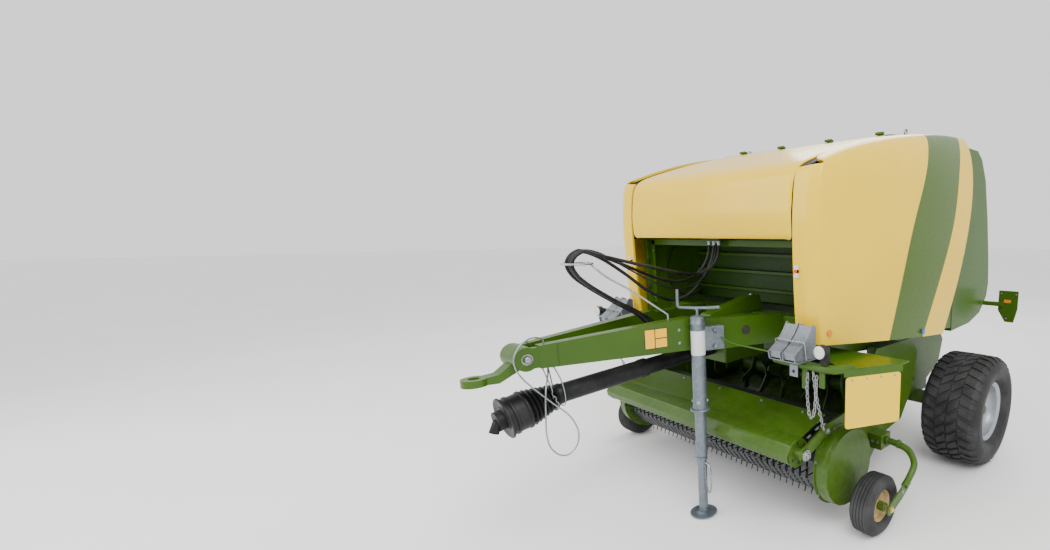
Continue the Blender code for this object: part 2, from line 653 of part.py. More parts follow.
# ---- pickup -------------------------------------------------------------------------
def pickup_frame():
    """Side plates with the drum covers, the cross tube and the pivot hubs."""
    outer = PICKUP_INNER_X + PICKUP_PLATE
    outline = [(-0.64, 0.655), (-0.50, 0.675), (0.14, 0.76), (0.26, 0.74), (0.29, 0.66), (0.24, 0.57),
               (0.04, 0.40), (-0.14, 0.22), (-0.17, 0.14), (-0.47, 0.14), (-0.60, 0.18), (-0.69, 0.30),
               (-0.70, 0.44), (-0.66, 0.56)]
    parts = []
    for side, sign in SIDES:
        near, far = sorted((sign * PICKUP_INNER_X, sign * outer))
        parts.append(plate("pickup_plate", outline, near, far))
        near, far = sorted((sign * (outer - 0.004), sign * (outer + PICKUP_DRUM_WIDTH)))
        parts.append(rod("drum", (near, REEL_Y, REEL_Z), (far, REEL_Y, REEL_Z), DRUM_RADIUS, sides=28))
        near, far = sorted((sign * (FEEDER_INNER_X + FEEDER_PLATE + FIT), sign * (PICKUP_INNER_X + 0.004)))
        parts.append(rod("hub", (near, ROTOR_Y, ROTOR_Z), (far, ROTOR_Y, ROTOR_Z), 0.05, sides=20))
    reach = PICKUP_INNER_X + 0.004
    beam = rod("pickup_frame", (-reach, -0.12, 0.50), (reach, -0.12, 0.50), 0.04, GREEN, 16)
    combine(beam, parts)


def strippers():
    """Steel bands with slots for the tines, held by a strip along each end."""
    half = PICKUP_INNER_X - FIT
    back = -0.20
    front = REEL_Y + 0.21
    profile = [(back, REEL_Z + BAND_RADIUS), (front, REEL_Z + BAND_RADIUS)]
    profile += arc(REEL_Y, REEL_Z, BAND_RADIUS, 90.0, 270.0, 6)
    profile += [(front, REEL_Z - BAND_RADIUS), (back, REEL_Z - BAND_RADIUS)]
    edges = [-half]
    for i in range(TINE_COUNT):
        x = (i - (TINE_COUNT - 1) / 2) * TINE_PITCH
        edges += [x - BAND_SLOT / 2, x + BAND_SLOT / 2]
    edges.append(half)
    bm = bmesh.new()
    grid = [[bm.verts.new((x, y, z)) for y, z in profile] for x in edges]
    last = len(profile) - 2
    for column in range(len(edges) - 1):
        for row in range(len(profile) - 1):
            if column % 2 == 0 or row in (0, last):
                bm.faces.new((grid[column][row], grid[column][row + 1],
                              grid[column + 1][row + 1], grid[column + 1][row]))
    obj = mesh_object("pickup_strippers", bm, BANDS)
    solidify = obj.modifiers.new("thickness", "SOLIDIFY")
    solidify.thickness = BAND_THICKNESS
    solidify.offset = 0.0


def tine_reel():
    """Reel shaft, spiders and four tine bars with their rows of tines."""
    bar_circle = 0.15
    reach = PICKUP_INNER_X - 2 * FIT
    shaft = rod("tine_reel", (-reach, REEL_Y, REEL_Z), (reach, REEL_Y, REEL_Z), 0.045, GREEN, 12)
    parts = []
    for x in (-0.93, -0.47, 0.0, 0.47, 0.93):
        parts.append(rod("spider", (x - 0.005, REEL_Y, REEL_Z), (x + 0.005, REEL_Y, REEL_Z), 0.17, sides=20))
    root_radius = bar_circle - 0.012
    half = TINE_THICKNESS / 2
    width = (TINE_COUNT - 1) / 2 * TINE_PITCH
    for row in range(4):
        angle = math.radians(270.0 + 90.0 * row)
        outline = [(-width - 0.012, root_radius), (width + 0.012, root_radius), (width + 0.012, bar_circle)]
        for i in reversed(range(TINE_COUNT)):
            x = i * TINE_PITCH - width
            outline += [(x + half, bar_circle), (x + half, TINE_RADIUS), (x - half, TINE_RADIUS),
                        (x - half, bar_circle)]
        outline.append((-width - 0.012, bar_circle))
        bm = bmesh.new()
        face = bm.faces.new([bm.verts.new((x, r, -half)) for x, r in outline])
        made = bmesh.ops.extrude_face_region(bm, geom=[face])
        moved = [v for v in made["geom"] if isinstance(v, bmesh.types.BMVert)]
        bmesh.ops.translate(bm, vec=(0, 0, TINE_THICKNESS), verts=moved)
        comb = mesh_object("tine_bar", bm)
        comb.rotation_euler = (angle, 0.0, 0.0)
        comb.location = (0.0, REEL_Y, REEL_Z)
        parts.append(comb)
    combine(shaft, parts)


def gauge_arm(side, sign):
    """Bent tube from the pickup plate round the wheel to its flat end."""
    outer = PICKUP_INNER_X + PICKUP_PLATE
    line = smooth_line([(1.06, -0.06, 0.43), (1.16, -0.06, 0.43), (1.27, -0.07, 0.41), (1.345, -0.13, 0.365),
                        (1.356, -0.20, 0.31), (1.356, -0.27, 0.27)], 0.035)
    arm = to_mesh(tube("gauge_arm_" + side, [(sign * p.x, p.y, p.z) for p in line], 0.022, GREEN, 2))
    near, far = sorted((sign * (outer + FIT), sign * 1.10))
    foot = box("foot", (near, -0.12, 0.375), (far, 0.0, 0.475))
    outline = [(-0.22, 0.315), (-0.185, 0.255), (-0.44, 0.150), (-0.47, 0.175), (-0.46, 0.215)]
    near, far = sorted((sign * 1.350, sign * 1.362))
    blade = plate("blade", outline, near, far)
    hub_x = GAUGE_X + GAUGE_WIDTH / 2 + 0.008 + FIT
    pin = rod("pin", (sign * hub_x, GAUGE_Y, GAUGE_RADIUS), (sign * 1.372, GAUGE_Y, GAUGE_RADIUS), 0.014)
    combine(arm, [foot, blade, pin])


def windguard():
    """Crop roll and deflector sheet, on two arms."""
    profile = [(-0.83, 0.473), (-0.888, 0.513), (-0.897, 0.555), (-0.862, 0.610), (-0.751, 0.641),
               (-0.545, 0.710)]
    parts = []
    for side, sign in SIDES:
        near, far = sorted((sign * GUARD_HALF_WIDTH, sign * (GUARD_HALF_WIDTH - 0.012)))
        parts.append(plate("end_plate", arc(-0.800, 0.550, 0.085, 0.0, 345.0, 20), near, far))
        parts.append(rod("boss", (sign * (GUARD_HALF_WIDTH - 0.01), -0.814, 0.557),
                         (sign * 1.025, -0.814, 0.557), 0.028, sides=16))
        arm = [(-0.845, 0.535), (-0.80, 0.525), (-0.63, 0.600), (-0.575, 0.615), (-0.575, 0.650),
               (-0.615, 0.658), (-0.66, 0.652), (-0.835, 0.585)]
        near, far = sorted((sign * (PICKUP_INNER_X + PICKUP_PLATE + 2 * FIT), sign * 1.012))
        parts.append(plate("arm", arm, near, far))
    guard = sheet("windguard", profile, GUARD_HALF_WIDTH - 0.004, 0.006, GREEN)
    combine(guard, parts)


# ---- guards, lamps, chocks and flaps -------------------------------------------------
STEP_FRONT = (1.207, -0.775)
STEP_BACK = (1.385, -0.405)


def front_guard(side, sign):
    """Bent rail, folded step and hanging lugs at the front corner."""
    def across(points):
        return [(sign * x, y, z) for x, y, z in points]

    line = [(0.70, BEAM_FRONT_Y - 0.20, RAIL_Z), (0.70, -0.66, RAIL_Z), (0.715, -0.73, RAIL_Z), (0.76, -0.772, RAIL_Z),
            (0.83, RAIL_Y, RAIL_Z), (1.12, RAIL_Y, RAIL_Z), (1.175, -0.760, RAIL_Z), (1.205, -0.715, RAIL_Z),
            (1.215, -0.66, RAIL_Z)]
    rail = to_mesh(tube("front_guard_" + side, across(line), RAIL_RADIUS, GREEN, 3))
    frame_outer = FRAME_INNER_X + FRAME_PLATE + FIT
    corners = [(frame_outer, -0.50), (1.15, -0.70), (1.215, -0.735), STEP_BACK, (1.385, -0.33), (frame_outer, -0.33)]
    top = loft("step", [[(sign * x, y, z) for x, y in corners] for z in (RAIL_Z - 0.004, RAIL_Z + 0.004)])
    fold = loft("fold", [across([(x, y, RAIL_Z - 0.040), (x - 0.006, y + 0.003, RAIL_Z - 0.040),
                                 (x - 0.006, y + 0.003, RAIL_Z), (x, y, RAIL_Z)])
                         for x, y in ((1.217, -0.735), STEP_BACK)])
    near, far = sorted((sign * 0.69, sign * 0.71))
    stay = box("stay", (near, -0.60, RAIL_Z - 0.02), (far, BEAM_FRONT_Y - FIT, RAIL_Z + 0.03))
    lugs = []
    for x, low in ((0.985, 0.935), (1.105, 0.960)):
        near, far = sorted((sign * (x - 0.018), sign * (x + 0.018)))
        lugs.append(box("lug", (near, RAIL_Y - 0.006, low), (far, RAIL_Y + 0.002, RAIL_Z)))
    combine(rail, [top, fold, stay] + lugs)


def wheel_chocks(side, sign):
    """Two folded steel wedges in their holder on the rail."""
    low = RAIL_TOP + FIT
    holder = box("wheel_chocks_" + side, (min(sign * 0.80, sign * 1.01), -0.87, low),
                 (max(sign * 0.80, sign * 1.01), -0.705, low + 0.008), ZINC)
    wedges = []
    for x in (0.808, 0.910):
        outline = [(-0.885, low + 0.004), (-0.705, low + 0.004), (-0.705, low + 0.185), (-0.735, low + 0.20),
                   (-0.895, low + 0.05)]
        near, far = sorted((sign * x, sign * (x + 0.092)))
        wedges.append(plate("wedge", outline, near, far))
    combine(holder, wedges)


def front_lamp(side, sign):
    """Position lamp in a rubber holder on the rail."""
    low = RAIL_TOP - 0.012
    near, far = sorted((sign * 1.095, sign * 1.150))
    body = box("front_lamp_" + side, (near, -0.805, RAIL_TOP + FIT), (far, -0.760, low + 0.13), BLACK)
    lens = rod("lens", (sign * 1.1225, -0.795, low + 0.090), (sign * 1.1225, -0.84, low + 0.090), 0.036, sides=16)
    combine(body, [lens])


def mud_flap(side, sign):
    """Rubber-cloth flap that hangs from the fold of the step."""
    high = RAIL_Z - 0.040 - FIT
    low = high - 0.295
    along = (Vector(STEP_BACK) - Vector((1.217, -0.735)))
    unit = along.normalized()
    normal = Vector((unit.y, -unit.x))
    start = Vector((1.217, -0.735)) + unit * 0.010
    end = Vector(STEP_BACK) - unit * 0.010
    corners = [start, end, end - normal * 0.005, start - normal * 0.005]
    loft("mud_flap_" + side, [[(sign * c.x, c.y, z) for c in corners] for z in (low, high)], CREAM)


# ---- hoses and cables ----------------------------------------------------------------
VALVE_Z = 1.735                          # underside of the valve block under the hood
TRAY_Z = 1.162                           # top of the drawbar's tray
HOLDER_Y = -1.10

HOSE_ROUTES = {
    "hose_left": [
        (0.034, -1.080, TRAY_Z + 0.0153), (0.034, -1.100, 1.215), (0.034, -1.180, 1.300), (0.034, -1.330, 1.390),
        (0.034, -1.480, 1.490), (0.034, -1.566, 1.565), (0.034, -1.589, 1.635), (0.034, -1.525, 1.690),
        (0.034, -1.407, 1.662), (0.036, -1.200, 1.610), (0.040, -1.009, 1.565), (0.044, -0.840, 1.532),
        (0.046, -0.720, 1.532), (0.048, -0.620, 1.575), (0.050, -0.568, 1.650), (0.050, -0.560, VALVE_Z - 0.0153)],
    "hose_middle": [
        (0.0, -1.060, TRAY_Z + 0.0153), (0.0, -1.080, 1.215), (0.0, -1.165, 1.305), (0.0, -1.325, 1.398),
        (0.0, -1.476, 1.497), (0.0, -1.562, 1.570), (0.0, -1.585, 1.635), (0.0, -1.522, 1.688),
        (0.0, -1.405, 1.650), (-0.005, -1.250, 1.550), (-0.010, -1.100, 1.440), (-0.014, -0.930, 1.366),
        (-0.014, -0.780, 1.390), (-0.010, -0.660, 1.490), (-0.003, -0.580, 1.620), (0.0, -0.560, VALVE_Z - 0.0153)],
    "hose_right": [
        (-0.034, -1.080, TRAY_Z + 0.0153), (-0.034, -1.098, 1.215), (-0.034, -1.175, 1.300), (-0.034, -1.320, 1.388),
        (-0.034, -1.470, 1.486), (-0.034, -1.560, 1.560), (-0.034, -1.587, 1.632), (-0.034, -1.524, 1.692),
        (-0.034, -1.410, 1.670), (-0.037, -1.230, 1.600), (-0.042, -1.060, 1.530), (-0.048, -0.890, 1.480),
        (-0.050, -0.740, 1.490), (-0.050, -0.630, 1.555), (-0.050, -0.572, 1.645), (-0.050, -0.560, VALVE_Z - 0.0153)],
}
CABLE_ROUTE = [
    (0.017, -1.040, TRAY_Z + 0.0153), (0.017, -1.058, 1.210), (0.017, -1.130, 1.285), (0.017, -1.310, 1.375),
    (0.017, -1.470, 1.478), (0.017, -1.560, 1.556), (0.017, -1.590, 1.630), (0.017, -1.535, 1.694),
    (0.017, -1.420, 1.680), (0.019, -1.250, 1.585), (0.021, -1.090, 1.500), (0.023, -0.930, 1.440),
    (0.025, -0.780, 1.450), (0.025, -0.660, 1.520), (0.025, -0.585, 1.625), (0.025, -0.560, VALVE_Z - 0.0153)]
WIRE_ROUTE = [
    (0.066, -1.790, 1.2427), (0.074, -1.810, 1.262), (0.098, -1.868, 1.272), (0.114, -1.930, 1.240),
    (0.118, -1.962, 1.170), (0.120, -1.935, 1.090), (0.132, -1.870, 1.005), (0.142, -1.800, 0.925),
    (0.150, -1.725, 0.840), (0.150, -1.685, 0.745), (0.150, -1.695, 0.670), (0.152, -1.740, 0.632),
    (0.156, -1.795, 0.645), (0.160, -1.842, 0.705), (0.162, -1.856, 0.785), (0.162, -1.852, 0.870),
    (0.158, -1.845, 0.950), (0.140, -1.828, 1.020), (0.088, -1.792, 1.066), (0.066, -1.780, 1.0880)]


def hose_holder():
    """Spring-steel rod with a ring that the hoses pass through."""
    centre = Vector((0.0, -1.545, 1.625))
    radius = 0.078
    foot = Vector((0.185, HOLDER_Y, arm_top(HOLDER_Y) + 3 * FIT))
    line = [foot, foot + Vector((0.0, 0.0, 0.03)), Vector((0.10, -1.28, 1.46))]
    for i in range(17):
        angle = math.radians(90.0 + 340.0 * i / 16)
        line.append(centre + Vector((radius * math.cos(angle), radius * math.sin(angle), 0.0)))
    tube("hose_holder", line, 0.006, ZINC, 2)


def cord_line(route, spacing):
    """Smooth line through a route, with an upright end of 15 mm where it is fixed."""
    line = smooth_line(route, spacing)
    rise = Vector((0.0, 0.0, 0.015))
    start = line[0] - rise
    end = line[-1] + rise
    return [start] + line + [end]


def cords():
    """Hydraulic hoses, lamp cable and the safety wire of the hitch."""
    for name, route in HOSE_ROUTES.items():
        tube(name, cord_line(route, 0.045), HOSE_DIAMETER / 2, RUBBER, 2)
    tube("lamp_cable", cord_line(CABLE_ROUTE, 0.040), CABLE_DIAMETER / 2, RUBBER, 2)
    tube("safety_wire", cord_line(WIRE_ROUTE, 0.026), WIRE_DIAMETER / 2, STEEL, 2)


def hang(name, spot, children):
    """Empty on a joint's axis, with the pieces that move about it as its children."""
    pivot = bpy.data.objects.new(name, None)
    pivot.location = spot
    machine.objects.link(pivot)
    bpy.context.view_layer.update()
    for child in children:
        piece = bpy.data.objects[child]
        piece.parent = pivot
        piece.matrix_parent_inverse = pivot.matrix_world.inverted()


def build():
    chamber()
    axle()
    cross_members()
    feeder()
    rotor()
    drawbar()
    hitch_eye()
    driveline()
    jack()
    tailgate()
    hood_and_roof()
    pickup_frame()
    strippers()
    tine_reel()
    windguard()
    hose_holder()
    cords()
    for side, sign in SIDES:
        side_frame(side, sign)
        main_wheel(side, sign)
        gauge_wheel(side, sign)
        light_bracket(side, sign)
        side_cover(side, sign)
        gauge_arm(side, sign)
        front_guard(side, sign)
        wheel_chocks(side, sign)
        front_lamp(side, sign)
        mud_flap(side, sign)
    hang("pickup_pivot", (0, ROTOR_Y, ROTOR_Z),
         ("pickup_frame", "pickup_strippers", "gauge_arm_left", "gauge_arm_right"))
    hang("windguard_pivot", (0, GUARD_PIVOT_Y, GUARD_PIVOT_Z), ("windguard",))
    hang("tailgate_pivot", (0, HINGE_Y, HINGE_Z), ("tailgate", "light_bracket_left", "light_bracket_right"))
    hang("hood_pivot", (0, HOOD_HINGE_Y, HOOD_HINGE_Z), ("front_hood",))
    for side, sign in SIDES:
        hang("cover_pivot_" + side, (sign * COVER_HINGE_X, 0.30, COVER_HINGE_Z), ("side_cover_" + side,))


build()
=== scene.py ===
"""Looks of a towed round baler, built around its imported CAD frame. Metres, +Z up, drawbar towards -Y."""
import math

import bmesh
import bpy
from mathutils import Matrix, Vector


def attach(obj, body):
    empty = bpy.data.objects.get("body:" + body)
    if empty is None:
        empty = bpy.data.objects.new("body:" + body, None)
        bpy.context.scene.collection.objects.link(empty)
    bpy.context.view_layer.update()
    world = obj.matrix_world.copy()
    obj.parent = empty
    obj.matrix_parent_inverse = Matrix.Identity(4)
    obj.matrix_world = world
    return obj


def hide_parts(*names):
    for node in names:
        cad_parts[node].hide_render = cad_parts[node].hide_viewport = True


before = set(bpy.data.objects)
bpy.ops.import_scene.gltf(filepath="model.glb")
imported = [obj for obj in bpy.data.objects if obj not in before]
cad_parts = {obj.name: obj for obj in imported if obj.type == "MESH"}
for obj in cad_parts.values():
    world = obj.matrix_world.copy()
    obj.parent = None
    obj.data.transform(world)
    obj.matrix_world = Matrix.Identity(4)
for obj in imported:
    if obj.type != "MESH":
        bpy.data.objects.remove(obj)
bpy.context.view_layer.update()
SIDES = (("left", 1), ("right", -1))

# ---- camera, floor and lights -------------------------------------------------------
# A wide lens close to the machine's front left corner, a pale floor, and large soft lamps
# above and on both sides, as in a studio.
camera = bpy.data.objects.new("camera", bpy.data.cameras.new("camera"))
bpy.context.scene.collection.objects.link(camera)
camera.location = (2.715, -2.925, 1.789)
camera.rotation_euler = (math.radians(79.44), 0.0, math.radians(40.49))
camera.data.sensor_width = 36.0
camera.data.lens = 17.57
camera.data.shift_x = -0.2536
camera.data.shift_y = 0.0511
camera.data.clip_end = 200.0
bpy.context.scene.camera = camera


def new_material(name):
    """Material with its node tree, its shader and the coordinates that stay on the piece."""
    mat = bpy.data.materials.new(name)
    mat.use_nodes = True
    tree = mat.node_tree
    shader = tree.nodes["Principled BSDF"]
    spot = tree.nodes.new("ShaderNodeTexCoord").outputs["Object"]
    return mat, tree, shader, spot


def noise(tree, spot, scale, detail=4.0, rough=0.55):
    """Noise of one scale, from 0 to 1."""
    node = tree.nodes.new("ShaderNodeTexNoise")
    node.inputs["Scale"].default_value = scale
    node.inputs["Detail"].default_value = detail
    node.inputs["Roughness"].default_value = rough
    tree.links.new(spot, node.inputs["Vector"])
    return node.outputs["Fac"]


def spread(tree, value, low, high, to_low, to_high):
    """Value stretched from one range to another, and held inside it."""
    node = tree.nodes.new("ShaderNodeMapRange")
    node.inputs["From Min"].default_value = low
    node.inputs["From Max"].default_value = high
    node.inputs["To Min"].default_value = to_low
    node.inputs["To Max"].default_value = to_high
    tree.links.new(value, node.inputs["Value"])
    return node.outputs["Result"]


def times(tree, first, second):
    node = tree.nodes.new("ShaderNodeMath")
    node.operation = "MULTIPLY"
    tree.links.new(first, node.inputs[0])
    tree.links.new(second, node.inputs[1])
    return node.outputs["Value"]


def blend_colour(tree, share, first, second):
    """Colour between two, by share; each is a colour or a socket."""
    node = tree.nodes.new("ShaderNodeMix")
    node.data_type = "RGBA"
    tree.links.new(share, node.inputs["Factor"])
    for socket, colour in ((node.inputs[6], first), (node.inputs[7], second)):
        if isinstance(colour, tuple):
            socket.default_value = (*colour, 1.0)
        else:
            tree.links.new(colour, socket)
    return node.outputs[2]


def bump(tree, shader, height, strength, distance):
    node = tree.nodes.new("ShaderNodeBump")
    node.inputs["Strength"].default_value = strength
    node.inputs["Distance"].default_value = distance
    tree.links.new(height, node.inputs["Height"])
    tree.links.new(node.outputs["Normal"], shader.inputs["Normal"])


def add(obj):
    bpy.context.scene.collection.objects.link(obj)
    return obj


floor_mat, tree, shader, spot = new_material("pale_floor")
shade = spread(tree, noise(tree, spot, 0.6), 0.3, 0.7, 0.0, 1.0)
tree.links.new(blend_colour(tree, shade, (0.90, 0.90, 0.90), (0.94, 0.94, 0.94)), shader.inputs["Base Color"])
shader.inputs["Roughness"].default_value = 0.7
floor_mesh = bpy.data.meshes.new("floor")
floor_mesh.from_pydata([(-60, -60, -0.002), (60, -60, -0.002), (60, 60, -0.002), (-60, 60, -0.002)], [],
                       [(0, 1, 2, 3)])
floor_mesh.materials.append(floor_mat)
add(bpy.data.objects.new("floor", floor_mesh))

world = bpy.data.worlds.new("studio")
bpy.context.scene.world = world
world.use_nodes = True
world.node_tree.nodes["Background"].inputs["Color"].default_value = (1.0, 1.0, 1.0, 1.0)
world.node_tree.nodes["Background"].inputs["Strength"].default_value = 1.3
for name, place, aim, size, power in (
        ("key_lamp", (4.5, -3.0, 6.0), (0.3, 0.0, 1.0), 4.0, 420.0),
        ("front_lamp_soft", (-3.0, -6.0, 4.5), (0.0, -0.6, 1.0), 5.0, 260.0),
        ("rim_lamp", (-3.0, 6.0, 6.5), (0.0, 1.0, 1.2), 4.0, 220.0)):
    lamp = bpy.data.lights.new(name, "AREA")
    lamp.size = size
    lamp.energy = power
    lamp_object = add(bpy.data.objects.new(name, lamp))
    lamp_object.location = place
    lamp_object.rotation_euler = (Vector(aim) - Vector(place)).to_track_quat("-Z", "Y").to_euler()

# ---- hydraulic hoses and the lamp cable ----------------------------------------------
# Rubber hoses with a braided core, crimped into steel ferrules at the valve block and at
# the drawbar's tray, and one thin cable beside them.  They pass through the spring ring.
FERRULE_REACH = 0.0153
FOOT_Z = 1.162 + FERRULE_REACH    # just above the tray on the drawbar
HEAD_Z = 1.735 - FERRULE_REACH    # just under the valve block
STRAIGHT = Vector((0.0, 0.0, 0.015))
HOSE_ROUTES = {
    "hose_left": [
        (0.034, -1.080, FOOT_Z), (0.034, -1.100, 1.215), (0.034, -1.180, 1.300), (0.034, -1.330, 1.390),
        (0.034, -1.480, 1.490), (0.034, -1.566, 1.565), (0.034, -1.589, 1.635), (0.034, -1.525, 1.690),
        (0.034, -1.407, 1.662), (0.036, -1.200, 1.610), (0.040, -1.009, 1.565), (0.044, -0.840, 1.532),
        (0.046, -0.720, 1.532), (0.048, -0.620, 1.575), (0.050, -0.568, 1.650), (0.050, -0.560, HEAD_Z)],
    "hose_middle": [
        (0.0, -1.060, FOOT_Z), (0.0, -1.080, 1.215), (0.0, -1.165, 1.305), (0.0, -1.325, 1.398),
        (0.0, -1.476, 1.497), (0.0, -1.562, 1.570), (0.0, -1.585, 1.635), (0.0, -1.522, 1.688),
        (0.0, -1.405, 1.650), (-0.005, -1.250, 1.550), (-0.010, -1.100, 1.440), (-0.014, -0.930, 1.366),
        (-0.014, -0.780, 1.390), (-0.010, -0.660, 1.490), (-0.003, -0.580, 1.620), (0.0, -0.560, HEAD_Z)],
    "hose_right": [
        (-0.034, -1.080, FOOT_Z), (-0.034, -1.098, 1.215), (-0.034, -1.175, 1.300), (-0.034, -1.320, 1.388),
        (-0.034, -1.470, 1.486), (-0.034, -1.560, 1.560), (-0.034, -1.587, 1.632), (-0.034, -1.524, 1.692),
        (-0.034, -1.410, 1.670), (-0.037, -1.230, 1.600), (-0.042, -1.060, 1.530), (-0.048, -0.890, 1.480),
        (-0.050, -0.740, 1.490), (-0.050, -0.630, 1.555), (-0.050, -0.572, 1.645), (-0.050, -0.560, HEAD_Z)],
}
CABLE_ROUTE = [
    (0.017, -1.040, FOOT_Z), (0.017, -1.058, 1.210), (0.017, -1.130, 1.285), (0.017, -1.310, 1.375),
    (0.017, -1.470, 1.478), (0.017, -1.560, 1.556), (0.017, -1.590, 1.630), (0.017, -1.535, 1.694),
    (0.017, -1.420, 1.680), (0.019, -1.250, 1.585), (0.021, -1.090, 1.500), (0.023, -0.930, 1.440),
    (0.025, -0.780, 1.450), (0.025, -0.660, 1.520), (0.025, -0.585, 1.625), (0.025, -0.560, HEAD_Z)]


def smooth_line(points, spacing):
    """Evenly spaced points along the smooth curve through a route."""
    line = []
    knots = [Vector(p) for p in points]
    knots = [knots[0] * 2 - knots[1]] + knots + [knots[-1] * 2 - knots[-2]]
    for a, b, c, d in zip(knots, knots[1:], knots[2:], knots[3:]):
        steps = max(2, round((c - b).length / spacing))
        for i in range(steps):
            t = i / steps
            line.append(0.5 * ((2 * b) + (c - a) * t + (2 * a - 5 * b + 4 * c - d) * t * t
                               + (3 * b - a - 3 * c + d) * t * t * t))
    line.append(knots[-2])
    return line


def round_bar(name, points, radius, mat, resolution=3):
    """Curve with a round section along a line of points."""
    curve = bpy.data.curves.new(name, "CURVE")
    curve.dimensions = "3D"
    curve.bevel_depth = radius
    curve.bevel_resolution = resolution
    curve.use_fill_caps = True
    spline = curve.splines.new("POLY")
    spline.points.add(len(points) - 1)
    for point, place in zip(spline.points, points):
        point.co = (*place, 1.0)
    spline.use_smooth = True
    curve.materials.append(mat)
    return add(bpy.data.objects.new(name, curve))


def turned(name, profile, origin, direction, mat, steps=32):
    """Solid of revolution from (radius, height) pairs along a direction."""
    turn = Vector(direction).to_track_quat("Z", "Y").to_matrix().to_4x4()
    shift = Matrix.Translation(Vector(origin)) @ turn
    bm = bmesh.new()
    rings = []
    for radius, height in profile:
        count = 1 if radius < 1e-6 else steps
        rings.append(
            [bm.verts.new((radius * math.cos(math.tau * k / count),
                           radius * math.sin(math.tau * k / count), height)) for k in range(count)])
    for low, high in zip(rings, rings[1:]):
        for k in range(steps):
            corners = [low[k % len(low)], low[(k + 1) % len(low)], high[(k + 1) % len(high)],
                       high[k % len(high)]]
            corners = [c for i, c in enumerate(corners) if c not in corners[:i]]
            if len(corners) > 2:
                bm.faces.new(corners)
    bmesh.ops.recalc_face_normals(bm, faces=bm.faces)
    bmesh.ops.transform(bm, matrix=shift, verts=bm.verts)
    return finished(name, bm, mat)


def finished(name, bm, mat, angle=38.0):
    """Object from a bmesh, smooth except across sharp edges."""
    mesh = bpy.data.meshes.new(name)
    bm.to_mesh(mesh)
    bm.free()
    for one in mat if isinstance(mat, (list, tuple)) else (mat,):
        mesh.materials.append(one)
    mesh.shade_smooth()
    mesh.set_sharp_from_angle(angle=math.radians(angle))
    return add(bpy.data.objects.new(name, mesh))


def rubber(name, colour, roughness, grain):
    """Black rubber: matt, slightly mottled, with a fine grain and dust in its hollows."""
    mat, tree, shader, spot = new_material(name)
    fine = noise(tree, spot, grain, 6.0)
    patches = spread(tree, noise(tree, spot, 7.0, 5.0), 0.42, 0.72, 0.0, 1.0)
    dust = tuple(c * 1.7 + 0.012 for c in colour)
    tree.links.new(blend_colour(tree, patches, colour, dust), shader.inputs["Base Color"])
    tree.links.new(spread(tree, fine, 0.3, 0.7, roughness - 0.08, roughness + 0.10),
                   shader.inputs["Roughness"])
    bump(tree, shader, fine, 0.25, 0.0006)
    shader.inputs["Specular IOR Level"].default_value = 0.22
    return mat


def galvanised(name, colour, roughness, scale=55.0, metallic=0.75):
    """Zinc-coated steel: a patchwork of crystals, dull, with small stains."""
    mat, tree, shader, spot = new_material(name)
    spangle = tree.nodes.new("ShaderNodeTexVoronoi")
    spangle.inputs["Scale"].default_value = scale
    tree.links.new(spot, spangle.inputs["Vector"])
    grey = spread(tree, spangle.outputs["Color"], 0.0, 1.0, 0.0, 1.0)
    light = tuple(min(1.0, c * 1.18) for c in colour)
    dark = tuple(c * 0.80 for c in colour)
    crystals = blend_colour(tree, grey, dark, light)
    stain = spread(tree, noise(tree, spot, 12.0, 6.0), 0.50, 0.75, 0.0, 0.55)
    tree.links.new(blend_colour(tree, stain, crystals, tuple(c * 0.55 for c in colour)),
                   shader.inputs["Base Color"])
    tree.links.new(spread(tree, grey, 0.0, 1.0, roughness - 0.08, roughness + 0.10),
                   shader.inputs["Roughness"])
    bump(tree, shader, noise(tree, spot, 160.0, 5.0), 0.15, 0.0005)
    shader.inputs["Metallic"].default_value = metallic
    return mat


def fit(piece, body, node=None):
    """Ties a piece to its body, and hides the frame's solid that it stands for."""
    if node:
        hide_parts(node)
    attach(piece, body)
    return piece


hose_rubber = rubber("hose_rubber", (0.006, 0.006, 0.0065), 0.42, 300.0)
bright_zinc = galvanised("bright_zinc", (0.33, 0.34, 0.355), 0.30, 240.0, 0.9)
FERRULE = [(0.0, 0.0), (1.45, 0.0), (1.45, 0.9), (1.20, 1.0), (1.30, 1.2), (1.30, 2.4), (1.12, 2.7),
           (0.0, 2.7)]
for name, route in list(HOSE_ROUTES.items()) + [("lamp_cable", CABLE_ROUTE)]:
    spacing, radius = (0.040, 0.005) if name == "lamp_cable" else (0.045, 0.010)
    line = smooth_line(route, spacing)
    ends = (line[0] - STRAIGHT, line[-1] + STRAIGHT)
    fine = [ends[0]] + smooth_line(line, 0.008) + [ends[1]]
    cord = round_bar(name + "_tube", fine, radius, hose_rubber)
    for number, foot, away in ((1, ends[0], 1.0), (0, ends[1], -1.0)):
        ferrule = turned(f"{name}_ferrule_{number}", [(r * radius, h * radius) for r, h in FERRULE],
                         foot, (0.0, 0.0, away), bright_zinc, 18)
        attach(ferrule, "chassis")
    fit(cord, "chassis", name)

# ---- safety wire of the hitch --------------------------------------------------------
# Stranded steel wire in a clear sleeve, looped from the drawbar's nose so that it can be
# hooked onto the towing machine.
WIRE_ROUTE = [
    (0.066, -1.790, 1.2427), (0.074, -1.810, 1.262), (0.098, -1.868, 1.272), (0.114, -1.930, 1.240),
    (0.118, -1.962, 1.170), (0.120, -1.935, 1.090), (0.132, -1.870, 1.005), (0.142, -1.800, 0.925),
    (0.150, -1.725, 0.840), (0.150, -1.685, 0.745), (0.150, -1.695, 0.670), (0.152, -1.740, 0.632),
    (0.156, -1.795, 0.645), (0.160, -1.842, 0.705), (0.162, -1.856, 0.785), (0.162, -1.852, 0.870),
    (0.158, -1.845, 0.950), (0.140, -1.828, 1.020), (0.088, -1.792, 1.066), (0.066, -1.780, 1.0880)]
wire_mat = galvanised("stranded_wire", (0.30, 0.32, 0.34), 0.35, 420.0, 0.85)
